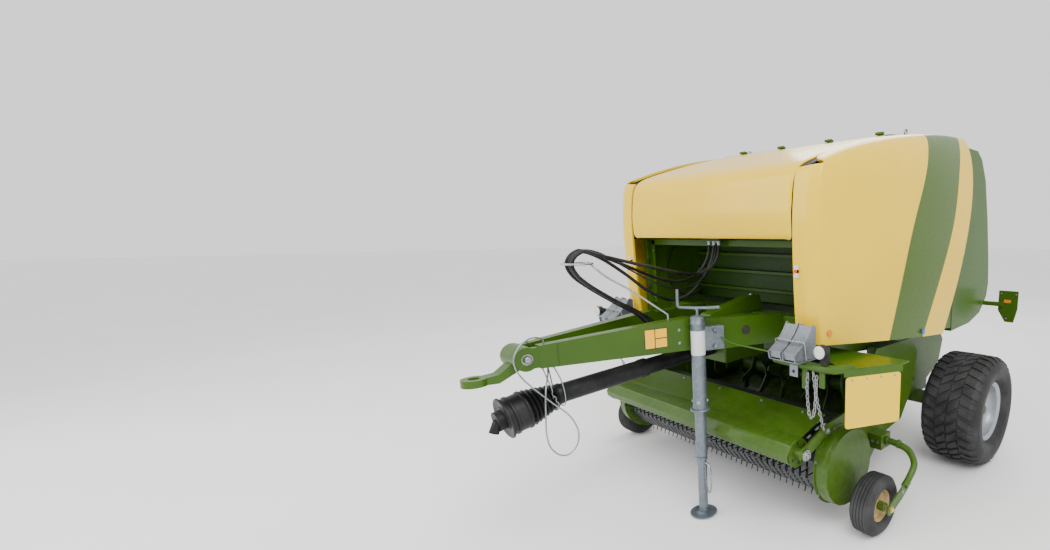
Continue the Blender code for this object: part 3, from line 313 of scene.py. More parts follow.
WIRE_RADIUS = 0.004
line = smooth_line(WIRE_ROUTE, 0.026)
fine = [line[0] - STRAIGHT] + smooth_line(line, 0.006) + [line[-1] + STRAIGHT]
wire = round_bar("safety_wire_strand", fine, WIRE_RADIUS, wire_mat)
fit(wire, "chassis", "safety_wire")

# ---- chassis, bale chamber and feed channel -------------------------------------------
# Welded and folded steel plate, painted green.  The plates are cut with small radii, and
# road dust lies on what is near the ground.
def painted(name, colour, roughness=0.32, dust=0.35, coat=0.35):
    """Painted steel: even colour with faint patches, orange peel, and dust low down."""
    mat, tree, shader, spot = new_material(name)
    cloud = spread(tree, noise(tree, spot, 3.0, 5.0), 0.35, 0.70, 0.0, 1.0)
    deep = tuple(c * 0.80 for c in colour)
    coat_colour = blend_colour(tree, cloud, colour, deep)
    split = tree.nodes.new("ShaderNodeSeparateXYZ")
    tree.links.new(spot, split.inputs["Vector"])
    low = spread(tree, split.outputs["Z"], 0.0, 1.1, dust, 0.0)
    grit = spread(tree, noise(tree, spot, 22.0, 8.0, 0.7), 0.42, 0.75, 0.0, 1.0)
    share = times(tree, low, grit)
    tree.links.new(blend_colour(tree, share, coat_colour, (0.30, 0.25, 0.16)), shader.inputs["Base Color"])
    scuff = noise(tree, spot, 45.0, 7.0, 0.65)
    tree.links.new(spread(tree, scuff, 0.30, 0.75, roughness - 0.06, roughness + 0.14),
                   shader.inputs["Roughness"])
    bump(tree, shader, noise(tree, spot, 380.0, 2.0), 0.06, 0.0004)
    for socket, value in (("Coat Weight", coat), ("Coat Roughness", 0.12), ("Specular IOR Level", 0.25)):
        shader.inputs[socket].default_value = value
    return mat


def cross_pin(bm, spot, radius, length, sides):
    """Round pin along X, added to a bmesh."""
    bmesh.ops.create_cone(bm, cap_ends=True, segments=sides, radius1=radius, radius2=radius, depth=length,
                          matrix=Matrix.Translation(spot) @ Matrix.Rotation(math.pi / 2, 4, "Y"))


def prism(bm, near, far):
    """Solid between two outlines of as many points, added to a bmesh."""
    spots = [[bm.verts.new(place) for place in outline] for outline in (near, far)]
    for outline in spots:
        bm.faces.new(outline)
    for i in range(len(near)):
        j = (i + 1) % len(near)
        bm.faces.new((spots[0][i], spots[0][j], spots[1][j], spots[1][i]))


def rounded(obj, width, segments=2, limit=30.0):
    """Edges sharper than the limit, in degrees, get a small radius."""
    bevel = obj.modifiers.new("edges", "BEVEL")
    bevel.width = width
    bevel.segments = segments
    bevel.limit_method = "ANGLE"
    bevel.angle_limit = math.radians(limit)
    bevel.harden_normals = True
    return obj


def refined(node, body, mat, width):
    """The frame's own solid with rounded edges, in place of the plain one."""
    bm = bmesh.new()
    bm.from_mesh(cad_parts[node].data)
    bmesh.ops.remove_doubles(bm, verts=bm.verts, dist=0.00002)
    bmesh.ops.dissolve_limit(bm, angle_limit=math.radians(0.6), verts=bm.verts, edges=bm.edges)
    obj = finished(node + "_shell", bm, mat, 30.0)
    if width:
        rounded(obj, width)
    fit(obj, body, node)


green = painted("green_paint", (0.040, 0.098, 0.004), 0.34, 0.22, 0.10)
dark_green = painted("shaded_green_paint", (0.022, 0.062, 0.006), 0.42, 0.35, 0.05)
for node, width in (("bale_chamber", 0.004), ("side_frame_left", 0.002), ("side_frame_right", 0.002),
                    ("axle_beam", 0.004), ("front_beam", 0.006), ("hood_beam", 0.003),
                    ("wrap_box", 0.008), ("rear_wall", 0.001), ("gearbox", 0.010),
                    ("feeder_side_left", 0.002), ("feeder_side_right", 0.002), ("feeder_floor", 0.0)):
    refined(node, "chassis", dark_green
            if node in ("bale_chamber", "rear_wall", "feeder_floor") else green, width)
refined("valve_block", "chassis", dark_green, 0.002)
refined("feed_rotor", "feed_rotor", dark_green, 0.0)


def solid_box(bm, low, high, turn=None):
    """Box between two corners added to a bmesh, turned about its middle."""
    low, high = Vector(low), Vector(high)
    made = bmesh.ops.create_cube(bm, size=1.0)["verts"]
    bmesh.ops.scale(bm, vec=high - low, verts=made)
    if turn:
        bmesh.ops.transform(bm, matrix=turn.to_4x4(), verts=made)
    bmesh.ops.translate(bm, vec=(low + high) / 2, verts=made)


def fasteners(name, body, places, radius, mat):
    """Washers with hexagon heads; each place is a point on a surface and its outward direction."""
    bm = bmesh.new()
    for spot, out in places:
        turn = Vector(out).to_track_quat("Z", "Y").to_matrix().to_4x4()
        shift = Matrix.Translation(Vector(spot)) @ turn
        for sides, wide, top_wide, low, high in ((18, 1.55, 1.50, -0.1, 0.18), (6, 1.0, 0.98, 0.18, 0.78),
                                                 (6, 0.98, 0.82, 0.78, 0.88)):
            bmesh.ops.create_cone(bm, cap_ends=True, segments=sides, radius1=wide * radius,
                                  radius2=top_wide * radius, depth=(high - low) * radius, matrix=shift
                                  @ Matrix.Translation((0, 0, (high + low) / 2 * radius)))
    fit(finished(name, bm, mat, 30.0), body)


# ---- fittings under the hood ----------------------------------------------------------
# Folded ledges on the wall behind the hood, the round guard of a chain drive on the right
# inner wall, latch posts with rubber catches on both sides, and the lid of the wrap box.
bm = bmesh.new()
for z, depth in ((1.36, 0.030), (1.50, 0.045), (1.63, 0.030)):
    solid_box(bm, (-0.78, -0.03 - depth, z), (0.78, -0.0305, z + 0.006))
    solid_box(bm, (-0.78, -0.03 - depth, z - 0.020), (0.78, -0.026 - depth, z + 0.006))
for side, sign in SIDES:
    near, far = sorted((sign * 0.752, sign * 0.792))
    solid_box(bm, (near, -0.520, 1.245), (far, -0.514, 1.735))
    solid_box(bm, (near, -0.560, 1.245), (near + 0.004, -0.514, 1.735))
fit(rounded(finished("wall_ledges", bm, green), 0.001, 1), "chassis")

DRIVE = Vector((-0.794, -0.16, 1.50))
guard_ring = turned("drive_guard_ring",
                    [(0.0, 0.010), (0.205, 0.010), (0.215, 0.014), (0.226, 0.014), (0.232, 0.006),
                     (0.232, 0.0)], DRIVE, (1.0, 0.0, 0.0), green, 48)
fit(guard_ring, "chassis")
edge_rubber = rubber("edge_rubber", (0.020, 0.017, 0.012), 0.55, 200.0)
rim_line = [DRIVE + Vector((0.014, 0.229 * math.cos(a), 0.229 * math.sin(a)))
            for a in (math.tau * k / 48 for k in range(49))]
fit(round_bar("drive_guard_edge", rim_line, 0.006, edge_rubber), "chassis")

catches = bmesh.new()
for sign in (1, -1):
    for z in (1.36, 1.56):
        near, far = sorted((sign * 0.758, sign * 0.786))
        solid_box(catches, (near, -0.578, z), (far, -0.560, z + 0.030))
fit(rounded(finished("hood_catches", catches, edge_rubber), 0.003), "chassis")
fasteners("post_bolts", "chassis",
          [((sign * 0.772, -0.520, z), (0, -1, 0)) for sign in (1, -1) for z in (1.29, 1.45, 1.66)],
          0.007, bright_zinc)
lid = bmesh.new()
solid_box(lid, (-0.66, -0.435, 1.825), (0.66, -0.4205, 2.075))
solid_box(lid, (-0.20, -0.450, 1.93), (0.20, -0.434, 1.955))
fit(rounded(finished("wrap_box_lid", lid, green), 0.006, 3), "chassis")

# ---- front hood -----------------------------------------------------------------------
# One pressed panel, cream paint on plastic, with a crease across its front, rounded lower
# corners and edges rolled inwards.  It is hinged at the roof and carries no other part.
HOOD_PROFILE = [(-0.668, 1.755), (-0.6695, 1.7565), (-0.673, 1.762), (-0.677, 1.771), (-0.682, 1.787),
                (-0.687, 1.86), (-0.6875, 1.925), (-0.684, 1.945), (-0.679, 2.00), (-0.672, 2.06),
                (-0.660, 2.108), (-0.640, 2.143), (-0.600, 2.180), (-0.50, 2.220), (-0.23, 2.310),
                (0.06, 2.390), (0.33, 2.455)]
HOOD_HALF = 0.793
HOOD_CORNER = 0.032


def panel_paint(name, colour, roughness=0.24):
    """Cream gloss on moulded panels: faint waviness and a few fine wipe marks."""
    mat, tree, shader, spot = new_material(name)
    cloud = spread(tree, noise(tree, spot, 1.8, 3.0), 0.35, 0.70, 0.0, 1.0)
    tree.links.new(blend_colour(tree, cloud, colour, tuple(c * 0.93 for c in colour)),
                   shader.inputs["Base Color"])
    wipe = noise(tree, spot, 26.0, 8.0, 0.72)
    tree.links.new(spread(tree, wipe, 0.35, 0.80, roughness - 0.04, roughness + 0.12),
                   shader.inputs["Roughness"])
    bump(tree, shader, noise(tree, spot, 420.0, 2.0), 0.04, 0.0003)
    for socket, value in (("Coat Weight", 0.12), ("Coat Roughness", 0.08), ("Specular IOR Level", 0.3)):
        shader.inputs[socket].default_value = value
    return mat


def panel(name, rows, thickness, mats, stripe=None):
    """Shell over a grid of points, smoothed, with its thickness inwards."""
    bm = bmesh.new()
    grid = [[bm.verts.new(spot) for spot in row] for row in rows]
    for low, high in zip(grid, grid[1:]):
        for i in range(len(low) - 1):
            face = bm.faces.new((low[i], low[i + 1], high[i + 1], high[i]))
            if stripe:
                face.material_index = stripe[i]
    obj = finished(name, bm, mats, 60.0)
    smooth = obj.modifiers.new("smooth", "SUBSURF")
    smooth.levels = smooth.render_levels = 2
    smooth.boundary_smooth = "PRESERVE_CORNERS"
    solidify = obj.modifiers.new("thickness", "SOLIDIFY")
    solidify.thickness = abs(thickness)
    solidify.offset = -1.0 if thickness > 0 else 1.0
    return rounded(obj, 0.003, 2, 50.0)


cream = panel_paint("cream_gloss", (0.80, 0.525, 0.010))
rows = []
for y, z in HOOD_PROFILE:
    cut = max(0.0, HOOD_CORNER - (z - HOOD_PROFILE[0][1]))
    half = HOOD_HALF - (HOOD_CORNER - math.sqrt(HOOD_CORNER ** 2 - cut ** 2))
    rows.append([(half * share, y + (0.010 if abs(share) > 0.999 else 0.0015 if abs(share) > 0.98 else 0.0),
                  z - (0.006 if abs(share) > 0.999 else 0.0))
                 for share in (-1.0, -0.985, -0.95, -0.6, -0.2, 0.2, 0.6, 0.95, 0.985, 1.0)])
hood = panel("front_hood_panel", rows, 0.016, cream)
fit(hood, "hood", "front_hood")

refined("roof_panel", "chassis", green, 0.003)
bm = bmesh.new()
solid_box(bm, (-0.795, 0.868, 2.478), (0.795, 1.243, 2.494))
fit(rounded(finished("rear_roof_plate", bm, green), 0.003), "chassis")

# rubber seals that close the gap between the hood and the side covers
for side, sign in SIDES:
    seal = bmesh.new()
    strip = [(y + 0.020, z - 0.010) for y, z in HOOD_PROFILE] + [(0.60, 2.484), (0.86, 2.494), (1.235, 2.497)]
    for (y0, z0), (y1, z1) in zip(strip, strip[1:]):
        slope = Vector((0.0, y1 - y0, z1 - z0)).normalized()
        inward = Vector((0.0, slope.z, -slope.y)) * 0.012
        near, far = sorted((sign * 0.799, sign * 0.856))
        corners = [Vector((x, y, z)) + (inward if deep else Vector())
                   for y, z in ((y0, z0), (y1, z1)) for x in (near, far) for deep in (0, 1)]
        spots = [seal.verts.new(c) for c in corners]
        for face in ((0, 2, 6, 4), (1, 5, 7, 3), (0, 4, 5, 1), (2, 3, 7, 6)):
            seal.faces.new([spots[i] for i in face])
    bmesh.ops.remove_doubles(seal, verts=seal.verts, dist=0.0001)
    bmesh.ops.holes_fill(seal, edges=seal.edges)
    bmesh.ops.recalc_face_normals(seal, faces=seal.faces)
    fit(finished("hood_seal_" + side, seal, edge_rubber), "chassis")

# ---- side covers ----------------------------------------------------------------------
# Gull-wing panels of moulded plastic, cream with one green stripe.  They bulge outwards,
# wrap round the front corner and hang on hinges under the roof.
COVER_PLAN = [(0.806, -0.685, 1.155, 2.150), (0.900, -0.690, 1.155, 2.155), (0.970, -0.660, 1.155, 2.165),
              (1.005, -0.580, 1.150, 2.200), (1.050, -0.350, 1.135, 2.290), (1.100, -0.050, 1.115, 2.385),
              (1.130, 0.300, 1.090, 2.455), (1.145, 0.680, 1.065, 2.505), (1.145, 1.040, 1.045, 2.530)]
BACK = (-0.34, -0.14, 0.0, 0.07, 0.14, 0.20, 0.20)
LEAN = (0.045, 0.015, 0.0, 0.012, 0.022, 0.045, 0.065)
INSET = (0.020, 0.002, 0.0, 0.018)
STRIPE_FRONT = (-0.051, 0.038, 0.150, 0.340, 0.470, 0.602, 0.602)
STRIPE_REAR = (0.376, 0.573, 0.800, 0.850, 1.000, 1.153, 1.153)


def plan_at(s):
    """Plan point of a cover part way along its edge from front to rear."""
    i = min(int(s), len(COVER_PLAN) - 2)
    return [a + (b - a) * (s - i) for a, b in zip(COVER_PLAN[i], COVER_PLAN[i + 1])]


def cover_point(s, level):
    """Point of a side cover: s runs from the front edge to the rear, level from foot to flange."""
    x, y, foot, top = plan_at(s)
    wrap = max(0.0, min(1.0, 3.0 - s))
    middle = (1.85 + top) / 2 * wrap + 2.15 * (1.0 - wrap) if s < 3.5 else 2.15
    heights = (foot, 1.45, 1.85, middle, middle + 0.62 * (top - middle), top, top + 0.004)
    z = heights[level]
    y += LEAN[level] * wrap + BACK[level] * (s / 8) ** 3
    if level < 4:
        side_x = x - INSET[level]
    else:
        crease = 0.955 + 0.005 * (s - 3)
        flange = 0.86 + 0.09 * max(0.0, min(1.0, s - 6))
        side_x = (x - 0.018 + (crease - x + 0.018) * 0.62 + 0.034 * min(1.0, (x - 1.0) / 0.14), crease,
                  flange)[level - 4]
    return Vector((side_x + (x - side_x) * wrap, y, z))


def seam(level, y):
    """How far along a cover its surface reaches y at a level."""
    low, high = 3.0, 8.0
    for _ in range(30):
        middle = (low + high) / 2
        low, high = (middle, high) if cover_point(middle, level).y < y else (low, middle)
    return low


stripe_green = panel_paint("green_gloss", (0.050, 0.100, 0.004), 0.28)
for side, sign in SIDES:
    rows = []
    for level in range(7):
        front, rear = seam(level, STRIPE_FRONT[level]), seam(level, STRIPE_REAR[level])
        stops = [0.0, 0.12, 0.7, 1.2, 1.6, 2.0, 2.4, 3.0]
        stops += [3.0 + (front - 3.0) * k / 4 for k in (1, 2, 3)] + [front, (front + rear) / 2, rear]
        stops += [rear + (8.0 - rear) / 2, 7.93, 8.0]
        rows.append([(sign * p.x, p.y, p.z) for p in (cover_point(s, level) for s in stops)])
    stripe = [0] * 11 + [1, 1] + [0] * 3
    cover = panel("side_cover_panel_" + side, rows, 0.016 * sign, [cream, stripe_green], stripe)
    fit(cover, "cover_" + side, "side_cover_" + side)

# ---- tailgate -------------------------------------------------------------------------
# Welded rear half of the chamber in green plate, with a bumper beam, ribs across the back
# and the boards for the rear lights.
refined("tailgate", "tailgate", green, 0.010)
bm = bmesh.new()
for z, y, out in ((2.30, 1.872, 0.012), (1.80, 2.034, 0.012), (1.36, 2.128, 0.008)):
    solid_box(bm, (-0.84, y - 0.030, z - 0.035), (0.84, y + out, z + 0.035))
fit(rounded(finished("tailgate_ribs", bm, green), 0.006), "tailgate")
for side, sign in SIDES:
    refined("light_bracket_" + side, "tailgate", green, 0.003)

# lifting eyes on the roof and the knuckles of the hood's hinge, all welded steel
eyes = bmesh.new()
for x in (-0.62, -0.18, 0.30, 0.74):
    solid_box(eyes, (x - 0.018, 0.336, 2.452), (x + 0.018, 0.375, 2.482))
    cross_pin(eyes, (x, 0.333, 2.472), 0.011, 0.060, 16)
fit(rounded(finished("hood_knuckles", eyes, green), 0.002), "chassis")
for side, sign in SIDES:
    for spot, body, end in (((sign * 0.80, 0.60, 2.494), "chassis", "front"),
                            ((sign * 0.88, 1.30, 2.497), "tailgate", "rear")):
        ring = [Vector(spot) + Vector((0.0, 0.020 * math.cos(a), 0.016 + 0.020 * math.sin(a)))
                for a in (math.radians(-50 + 28 * k) for k in range(11))]
        fit(round_bar(f"lifting_eye_{side}_{end}", ring, 0.006, bright_zinc), body)

# ---- rear lights ----------------------------------------------------------------------
# Round lamps in black housings on the light boards, with an amber reflector on the front
# face, screwed through the sheet.
def lens(name, colour):
    """Ribbed lamp plastic: clear tint over small prisms."""
    mat, tree, shader, spot = new_material(name)
    prisms = tree.nodes.new("ShaderNodeTexVoronoi")
    prisms.inputs["Scale"].default_value = 260.0
    tree.links.new(spot, prisms.inputs["Vector"])
    share = spread(tree, prisms.outputs["Distance"], 0.0, 0.7, 0.0, 1.0)
    tree.links.new(blend_colour(tree, share, colour, tuple(c * 0.6 for c in colour)),
                   shader.inputs["Base Color"])
    bump(tree, shader, prisms.outputs["Distance"], 0.3, 0.0008)
    shader.inputs["Roughness"].default_value = 0.15
    shader.inputs["Coat Weight"].default_value = 0.8
    return mat


red_lens = lens("red_lens", (0.55, 0.012, 0.010))
amber_lens = lens("amber_lens", (0.85, 0.28, 0.02))
clear_lens = lens("clear_lens", (0.82, 0.83, 0.80))
black_plastic = rubber("black_plastic", (0.008, 0.008, 0.009), 0.42, 160.0)
for side, sign in SIDES:
    for part, mat, x, z, radius in (("tail", red_lens, 1.175, 1.195, 0.034),
                                    ("turn", amber_lens, 1.100, 1.195, 0.030),
                                    ("stop", red_lens, 1.150, 1.120, 0.026)):
        housing = turned(f"{part}_lamp_housing_{side}",
                         [(0.0, 0.0), (radius * 1.15, 0.0), (radius * 1.15, 0.012), (radius, 0.014),
                          (0.0, 0.014)], (sign * x, 2.1072, z), (0, 1, 0), black_plastic, 28)
        glass = turned(f"{part}_lamp_lens_{side}",
                       [(radius, 0.0), (radius, 0.003), (radius * 0.8, 0.008), (radius * 0.4, 0.0105),
                        (0.0, 0.0110)], (sign * x, 2.1212, z), (0, 1, 0), mat, 28)
        for piece in (housing, glass):
            fit(piece, "tailgate")
    reflector = bmesh.new()
    solid_box(reflector, (sign * 1.135 - 0.032, 2.0905, 1.135), (sign * 1.135 + 0.032, 2.0948, 1.165))
    fit(rounded(finished("amber_reflector_" + side, reflector, amber_lens), 0.0015), "tailgate")
fasteners("light_board_bolts", "tailgate",
          [((sign * x, 2.0948, z), (0, -1, 0)) for sign in (1, -1)
           for x, z in ((1.075, 1.22), (1.21, 1.22), (1.13, 0.985))], 0.006, bright_zinc)

# ---- drawbar and towing eye ------------------------------------------------------------
# Two tapering box arms of folded plate, welded to a nose with two drilled discs; the
# towing eye is forged and clamped between the discs by one large bolt.
NOSE = Vector((0.0, -1.887, 1.165))
refined("drawbar", "chassis", green, 0.005)
refined("hitch_eye", "chassis", green, 0.004)
fasteners("eye_clamp_bolt", "chassis",
          [((sign * 0.0882, NOSE.y, NOSE.z), (sign, 0, 0)) for sign in (1, -1)], 0.019, bright_zinc)


def arm_face(sign, y, z, out=0.0005):
    """Point on the outer face of a drawbar arm."""
    return (sign * (0.085 + (y + 1.82) / 0.85 * 0.16 + out), y, z)


WELD_BEADS = 15
weld = bmesh.new()
for sign in (1, -1):
    for k in range(WELD_BEADS):
        spot = arm_face(sign, -1.735 + 0.002 * math.sin(k * 2.1), 1.110 + 0.116 * k / (WELD_BEADS - 1),
                        -0.002)
        bmesh.ops.create_icosphere(weld, subdivisions=1, radius=0.0055, matrix=Matrix.Translation(spot))
fit(finished("nose_weld", weld, green, 80.0), "chassis")

fasteners("tray_bolts", "chassis",
          [(arm_face(sign, -1.056, z), (sign, -0.188, 0)) for sign in (1, -1) for z in (1.134, 1.214)],
          0.006, bright_zinc)
# The round holes in the arms are not cut: a thin dark disc in edge rubber stands for each, painted shade of
# the hollow box arm.
for side, sign in SIDES:
    hole = turned("arm_hole_shade_" + side,
                  [(0.0, 0.0008), (0.027, 0.0008), (0.028, 0.0016), (0.030, 0.0016), (0.031, 0.0)],
                  (sign * 0.3598, -0.621, 1.17), (sign, -0.339, 0), edge_rubber, 32)
    fit(hole, "chassis")

# folded stay from the cross beam forward over the gearbox, with a blank yellow plate
bm = bmesh.new()
spots = [bm.verts.new((x, y, z)) for x, y, z in (
    (0.030, -0.74, 1.242), (0.150, -0.74, 1.242), (0.150, -0.24, 1.2405), (0.030, -0.24, 1.2405),
    (0.045, -0.73, 1.262), (0.135, -0.73, 1.262), (0.130, -0.34, 1.352), (0.045, -0.34, 1.352),
    (0.130, -0.25, 1.352), (0.045, -0.25, 1.352))]
for face in ((0, 3, 2, 1), (0, 1, 5, 4), (4, 5, 6, 7), (7, 6, 8, 9), (9, 8, 2, 3), (1, 2, 8, 6, 5),
             (0, 4, 7, 9, 3)):
    bm.faces.new([spots[i] for i in face])
fit(rounded(finished("beam_stay", bm, green), 0.005), "chassis")
fasteners("beam_stay_bolt", "chassis", [((0.088, -0.30, 1.3522), (0, 0, 1))], 0.012, bright_zinc)

# blank yellow plate riveted to the left arm, in three fields
plate_yellow = panel_paint("yellow_enamel", (0.90, 0.48, 0.004), 0.3)
plate_black = rubber("plate_border", (0.02, 0.02, 0.02), 0.45, 200.0)
BORDER = ((-1.272, -1.132, 1.122, 1.240),)
FIELDS = ((-1.268, -1.212, 1.126, 1.236), (-1.206, -1.136, 1.184, 1.236), (-1.206, -1.136, 1.126, 1.178))
for name, mat, fields, out in (("arm_plate_border", plate_black, BORDER, 0.0015),
                               ("arm_plate_fields", plate_yellow, FIELDS, 0.0024)):
    bm = bmesh.new()
    for y0, y1, z0, z1 in fields:
        prism(bm, *([arm_face(1, y, z, depth) for y, z in ((y0, z0), (y1, z0), (y1, z1), (y0, z1))]
                    for depth in (0.0003, out)))
    bmesh.ops.recalc_face_normals(bm, faces=bm.faces)
    fit(finished(name, bm, mat), "chassis")

# ---- spring ring that carries the hoses ------------------------------------------------
# One length of galvanised spring steel, bent into an open ring at its top.
ARM_TOP = 1.285 - 0.06 * (-0.97 + 1.10) / 0.85
line = [Vector((0.185, -1.10, ARM_TOP + 0.0005)), Vector((0.185, -1.10, ARM_TOP + 0.030))]
line += smooth_line(
    [(0.185, -1.10, ARM_TOP + 0.034), (0.150, -1.180, 1.375), (0.10, -1.28, 1.46), (0.045, -1.40, 1.545),
     (0.012, -1.458, 1.605)], 0.03)
line += [Vector((0.078 * math.cos(a), -1.545 + 0.078 * math.sin(a), 1.625))
         for a in (math.radians(90 + 340 * k / 36) for k in range(1, 37))]
zinc_rod = galvanised("zinc_rod", (0.36, 0.38, 0.40), 0.32, 260.0, 0.85)
fit(round_bar("hose_ring", line, 0.006, zinc_rod), "chassis", "hose_holder")

# ---- driveline -------------------------------------------------------------------------
# Power shaft in its black plastic guard tube, with a ribbed rubber boot over the front
# joint; it hangs parked from a short zinc chain under the drawbar.
DRIVE_FRONT = Vector((0.0, -1.70, 0.925))
DRIVE_REAR = Vector((0.0, -0.6047, 1.005))
BOOT_FRONT = Vector((0.0, -1.995, 0.862))
boot_along = DRIVE_FRONT - BOOT_FRONT
profile = [(0.0, 0.0), (0.060, 0.0), (0.066, 0.006), (0.104, 0.0), (0.111, 0.004), (0.111, 0.010),
           (0.099, 0.014), (0.098, 0.030), (0.104, 0.034), (0.104, 0.044), (0.098, 0.048),
           (0.098, 0.096), (0.104, 0.100), (0.104, 0.110), (0.094, 0.116)]
for i in range(7):
    high, wide = 0.124 + 0.0225 * i, 0.101 - 0.0055 * i
    profile += [(wide - 0.016, high), (wide - 0.003, high + 0.004), (wide, high + 0.008),
                (wide - 0.003, high + 0.012), (wide - 0.017, high + 0.017)]
profile += [(0.058, 0.286), (0.058, 0.312), (0.0, 0.312)]
boot = turned("driveline_boot", profile, BOOT_FRONT, boot_along, hose_rubber, 40)
along = (DRIVE_REAR - DRIVE_FRONT).length
profile = [(0.0, -0.02), (0.054, -0.02), (0.0545, along * 0.46), (0.0585, along * 0.462),
           (0.0585, along * 0.50), (0.0500, along * 0.505), (0.0500, along - 0.16),
           (0.0545, along - 0.15), (0.0545, along), (0.0, along)]
shaft_guard = turned("driveline_guard_tube", profile, DRIVE_FRONT, DRIVE_REAR - DRIVE_FRONT,
                     black_plastic, 36)
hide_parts("driveline_guard")
for piece in (boot, shaft_guard):
    fit(piece, "chassis")
cast_black = rubber("cast_black", (0.010, 0.010, 0.010), 0.5, 90.0)
refined("driveline_yoke", "chassis", cast_black, 0.004)
LOOP_HOOK = [(0.030, -1.74, 1.104), (0.062, -1.715, 1.02), (0.066, -1.700, 0.93), (0.030, -1.690, 0.864)]
LOOP_HOOK += [(-x, y, z) for x, y, z in reversed(LOOP_HOOK)]
END_HOOK = [(0.050, -1.80, 1.100), (0.075, -1.79, 1.040), (0.082, -1.775, 0.985), (0.070, -1.77, 0.955)]
for number, spots in enumerate((LOOP_HOOK, END_HOOK)):
    hook = round_bar(f"shaft_hook_{number + 1}", smooth_line(spots, 0.012), 0.0035, wire_mat)
    fit(hook, "chassis")


def wire_ring(bm, spot, first, second, radius):
    """Six points round a wire, in the plane of two directions."""
    return [bm.verts.new(spot + (first * math.cos(t) + second * math.sin(t)) * radius)
            for t in (math.tau * j / 6 for j in range(6))]


def wire_skin(bm, rings):
    """Faces along a wire, from ring to ring."""
    for near, far in zip(rings, rings[1:]):
        for j in range(6):
            bm.faces.new((near[j], near[(j + 1) % 6], far[(j + 1) % 6], far[j]))


def chain(name, body, spots, wire):
    """Welded chain: oval links of round wire, each turned a quarter from the last."""
    pitch = wire * 7.0
    path = smooth_line(spots, pitch * 0.25)
    picked, walked = [path[0]], 0.0
    for a, b in zip(path, path[1:]):
        walked += (b - a).length
        if walked >= pitch * len(picked):
            picked.append(b)
    bm = bmesh.new()
    for number, (a, b) in enumerate(zip(picked, picked[1:])):
        ahead = (b - a).normalized()
        across = ahead.cross(Vector((0.31, 0.95, 0.05))).normalized()
        if number % 2:
            across = ahead.cross(across).normalized()
        face = ahead.cross(across)
        centre, rings = (a + b) / 2, []
        for k in range(12):
            angle = math.tau * k / 12
            reach = math.cos(angle) * pitch * 0.68
            wide = math.sin(angle) * wire * 2.4
            spot = centre + ahead * reach + across * wide
            out = (ahead * math.cos(angle) + across * math.sin(angle)).normalized()
            rings.append(wire_ring(bm, spot, out, face, wire))
        wire_skin(bm, rings + rings[:1])
    bmesh.ops.recalc_face_normals(bm, faces=bm.faces)
    fit(finished(name, bm, bright_zinc, 80.0), body)


chain("shaft_chain", "chassis",
      [(0.066, -1.770, 0.955), (0.064, -1.745, 0.900), (0.045, -1.735, 0.858), (0.0, -1.732, 0.846),
       (-0.045, -1.735, 0.858), (-0.062, -1.740, 0.920)], 0.0028)

# ---- crank jack ------------------------------------------------------------------------
# Galvanised tube with a screw inside, turned by the crank on top.  The leg telescopes out
# below, is held by a bent pin on a chain, and ends in a dished foot.
JACK = Vector((0.299, -0.970, 0.0))
MOUNT_WIDE = 0.058
MOUNT_FRONT = (0.255675, -0.9305)    # inner face, against the drawbar's arm
MOUNT_REAR = (0.2982134, -0.805)
white_film = panel_paint("white_film", (0.62, 0.63, 0.64), 0.4)
jack_zinc = galvanised("jack_zinc", (0.175, 0.205, 0.235), 0.42, 70.0, 0.65)
profile = [(0.0, 1.300), (0.030, 1.300), (0.041, 1.294), (0.043, 1.286), (0.043, 1.262), (0.046, 1.258),
           (0.046, 1.246), (0.043, 1.242), (0.043, 0.745), (0.0455, 0.738), (0.0455, 0.719),
           (0.060, 0.717), (0.062, 0.714), (0.062, 0.707), (0.060, 0.705), (0.037, 0.705),
           (0.037, 0.900)]
fit(turned("jack_tube", profile, JACK, (0, 0, 1), jack_zinc, 40), "chassis")
bm = bmesh.new()
prism(bm, *([(x, y, 1.075), (x + MOUNT_WIDE, y, 1.075), (x + MOUNT_WIDE, y, 1.225), (x, y, 1.225)]
            for x, y in (MOUNT_FRONT, MOUNT_REAR)))
bmesh.ops.recalc_face_normals(bm, faces=bm.faces)
fit(rounded(finished("jack_mount", bm, jack_zinc), 0.005, 3), "chassis", "jack_sleeve")
fasteners("jack_lug_bolts", "chassis",
          [((JACK.x + 0.043 * math.cos(a), JACK.y + 0.043 * math.sin(a), 0.765),
            (math.cos(a), math.sin(a), 0)) for a in (-2.4, -0.9, 0.9)]
          + [((0.345, -0.87, z), (1, 0, 0)) for z in (1.10, 1.20)], 0.009, bright_zinc)

profile = [(0.0, 0.98), (0.036, 0.98), (0.036, 0.412), (0.034, 0.402), (0.029, 0.396), (0.029, 0.020),
           (0.040, 0.0125), (0.060, 0.0110), (0.078, 0.0150), (0.086, 0.0160), (0.086, 0.0120),
           (0.078, 0.0090), (0.066, 0.0), (0.0, 0.0)]
leg = turned("jack_leg_tube", profile, JACK, (0, 0, 1), jack_zinc, 40)
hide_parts("jack_leg")
bend = smooth_line([(0.258, -0.970, 0.360), (0.345, -0.970, 0.360), (0.366, -0.972, 0.352),
                    (0.380, -0.975, 0.328), (0.384, -0.976, 0.296)], 0.01)
pin = round_bar("jack_pin_rod", [Vector((0.235, -0.970, 0.360))] + bend, 0.0075, bright_zinc)
collar = turned("jack_leg_collar", [(0.0295, 0.0), (0.034, 0.002), (0.034, 0.020), (0.0295, 0.022)],
                JACK + Vector((0, 0, 0.374)), (0, 0, 1), jack_zinc, 32)
chain("jack_pin_chain", "jack_leg",
      [(0.384, -0.976, 0.292), (0.392, -0.978, 0.235), (0.380, -0.978, 0.180), (0.362, -0.978, 0.175),
       (0.346, -0.978, 0.225), (0.335, -0.976, 0.290), (0.330, -0.972, 0.345)], 0.0020)
for piece in (leg, pin, collar):
    fit(piece, "jack_leg")
crank_z = 1.345
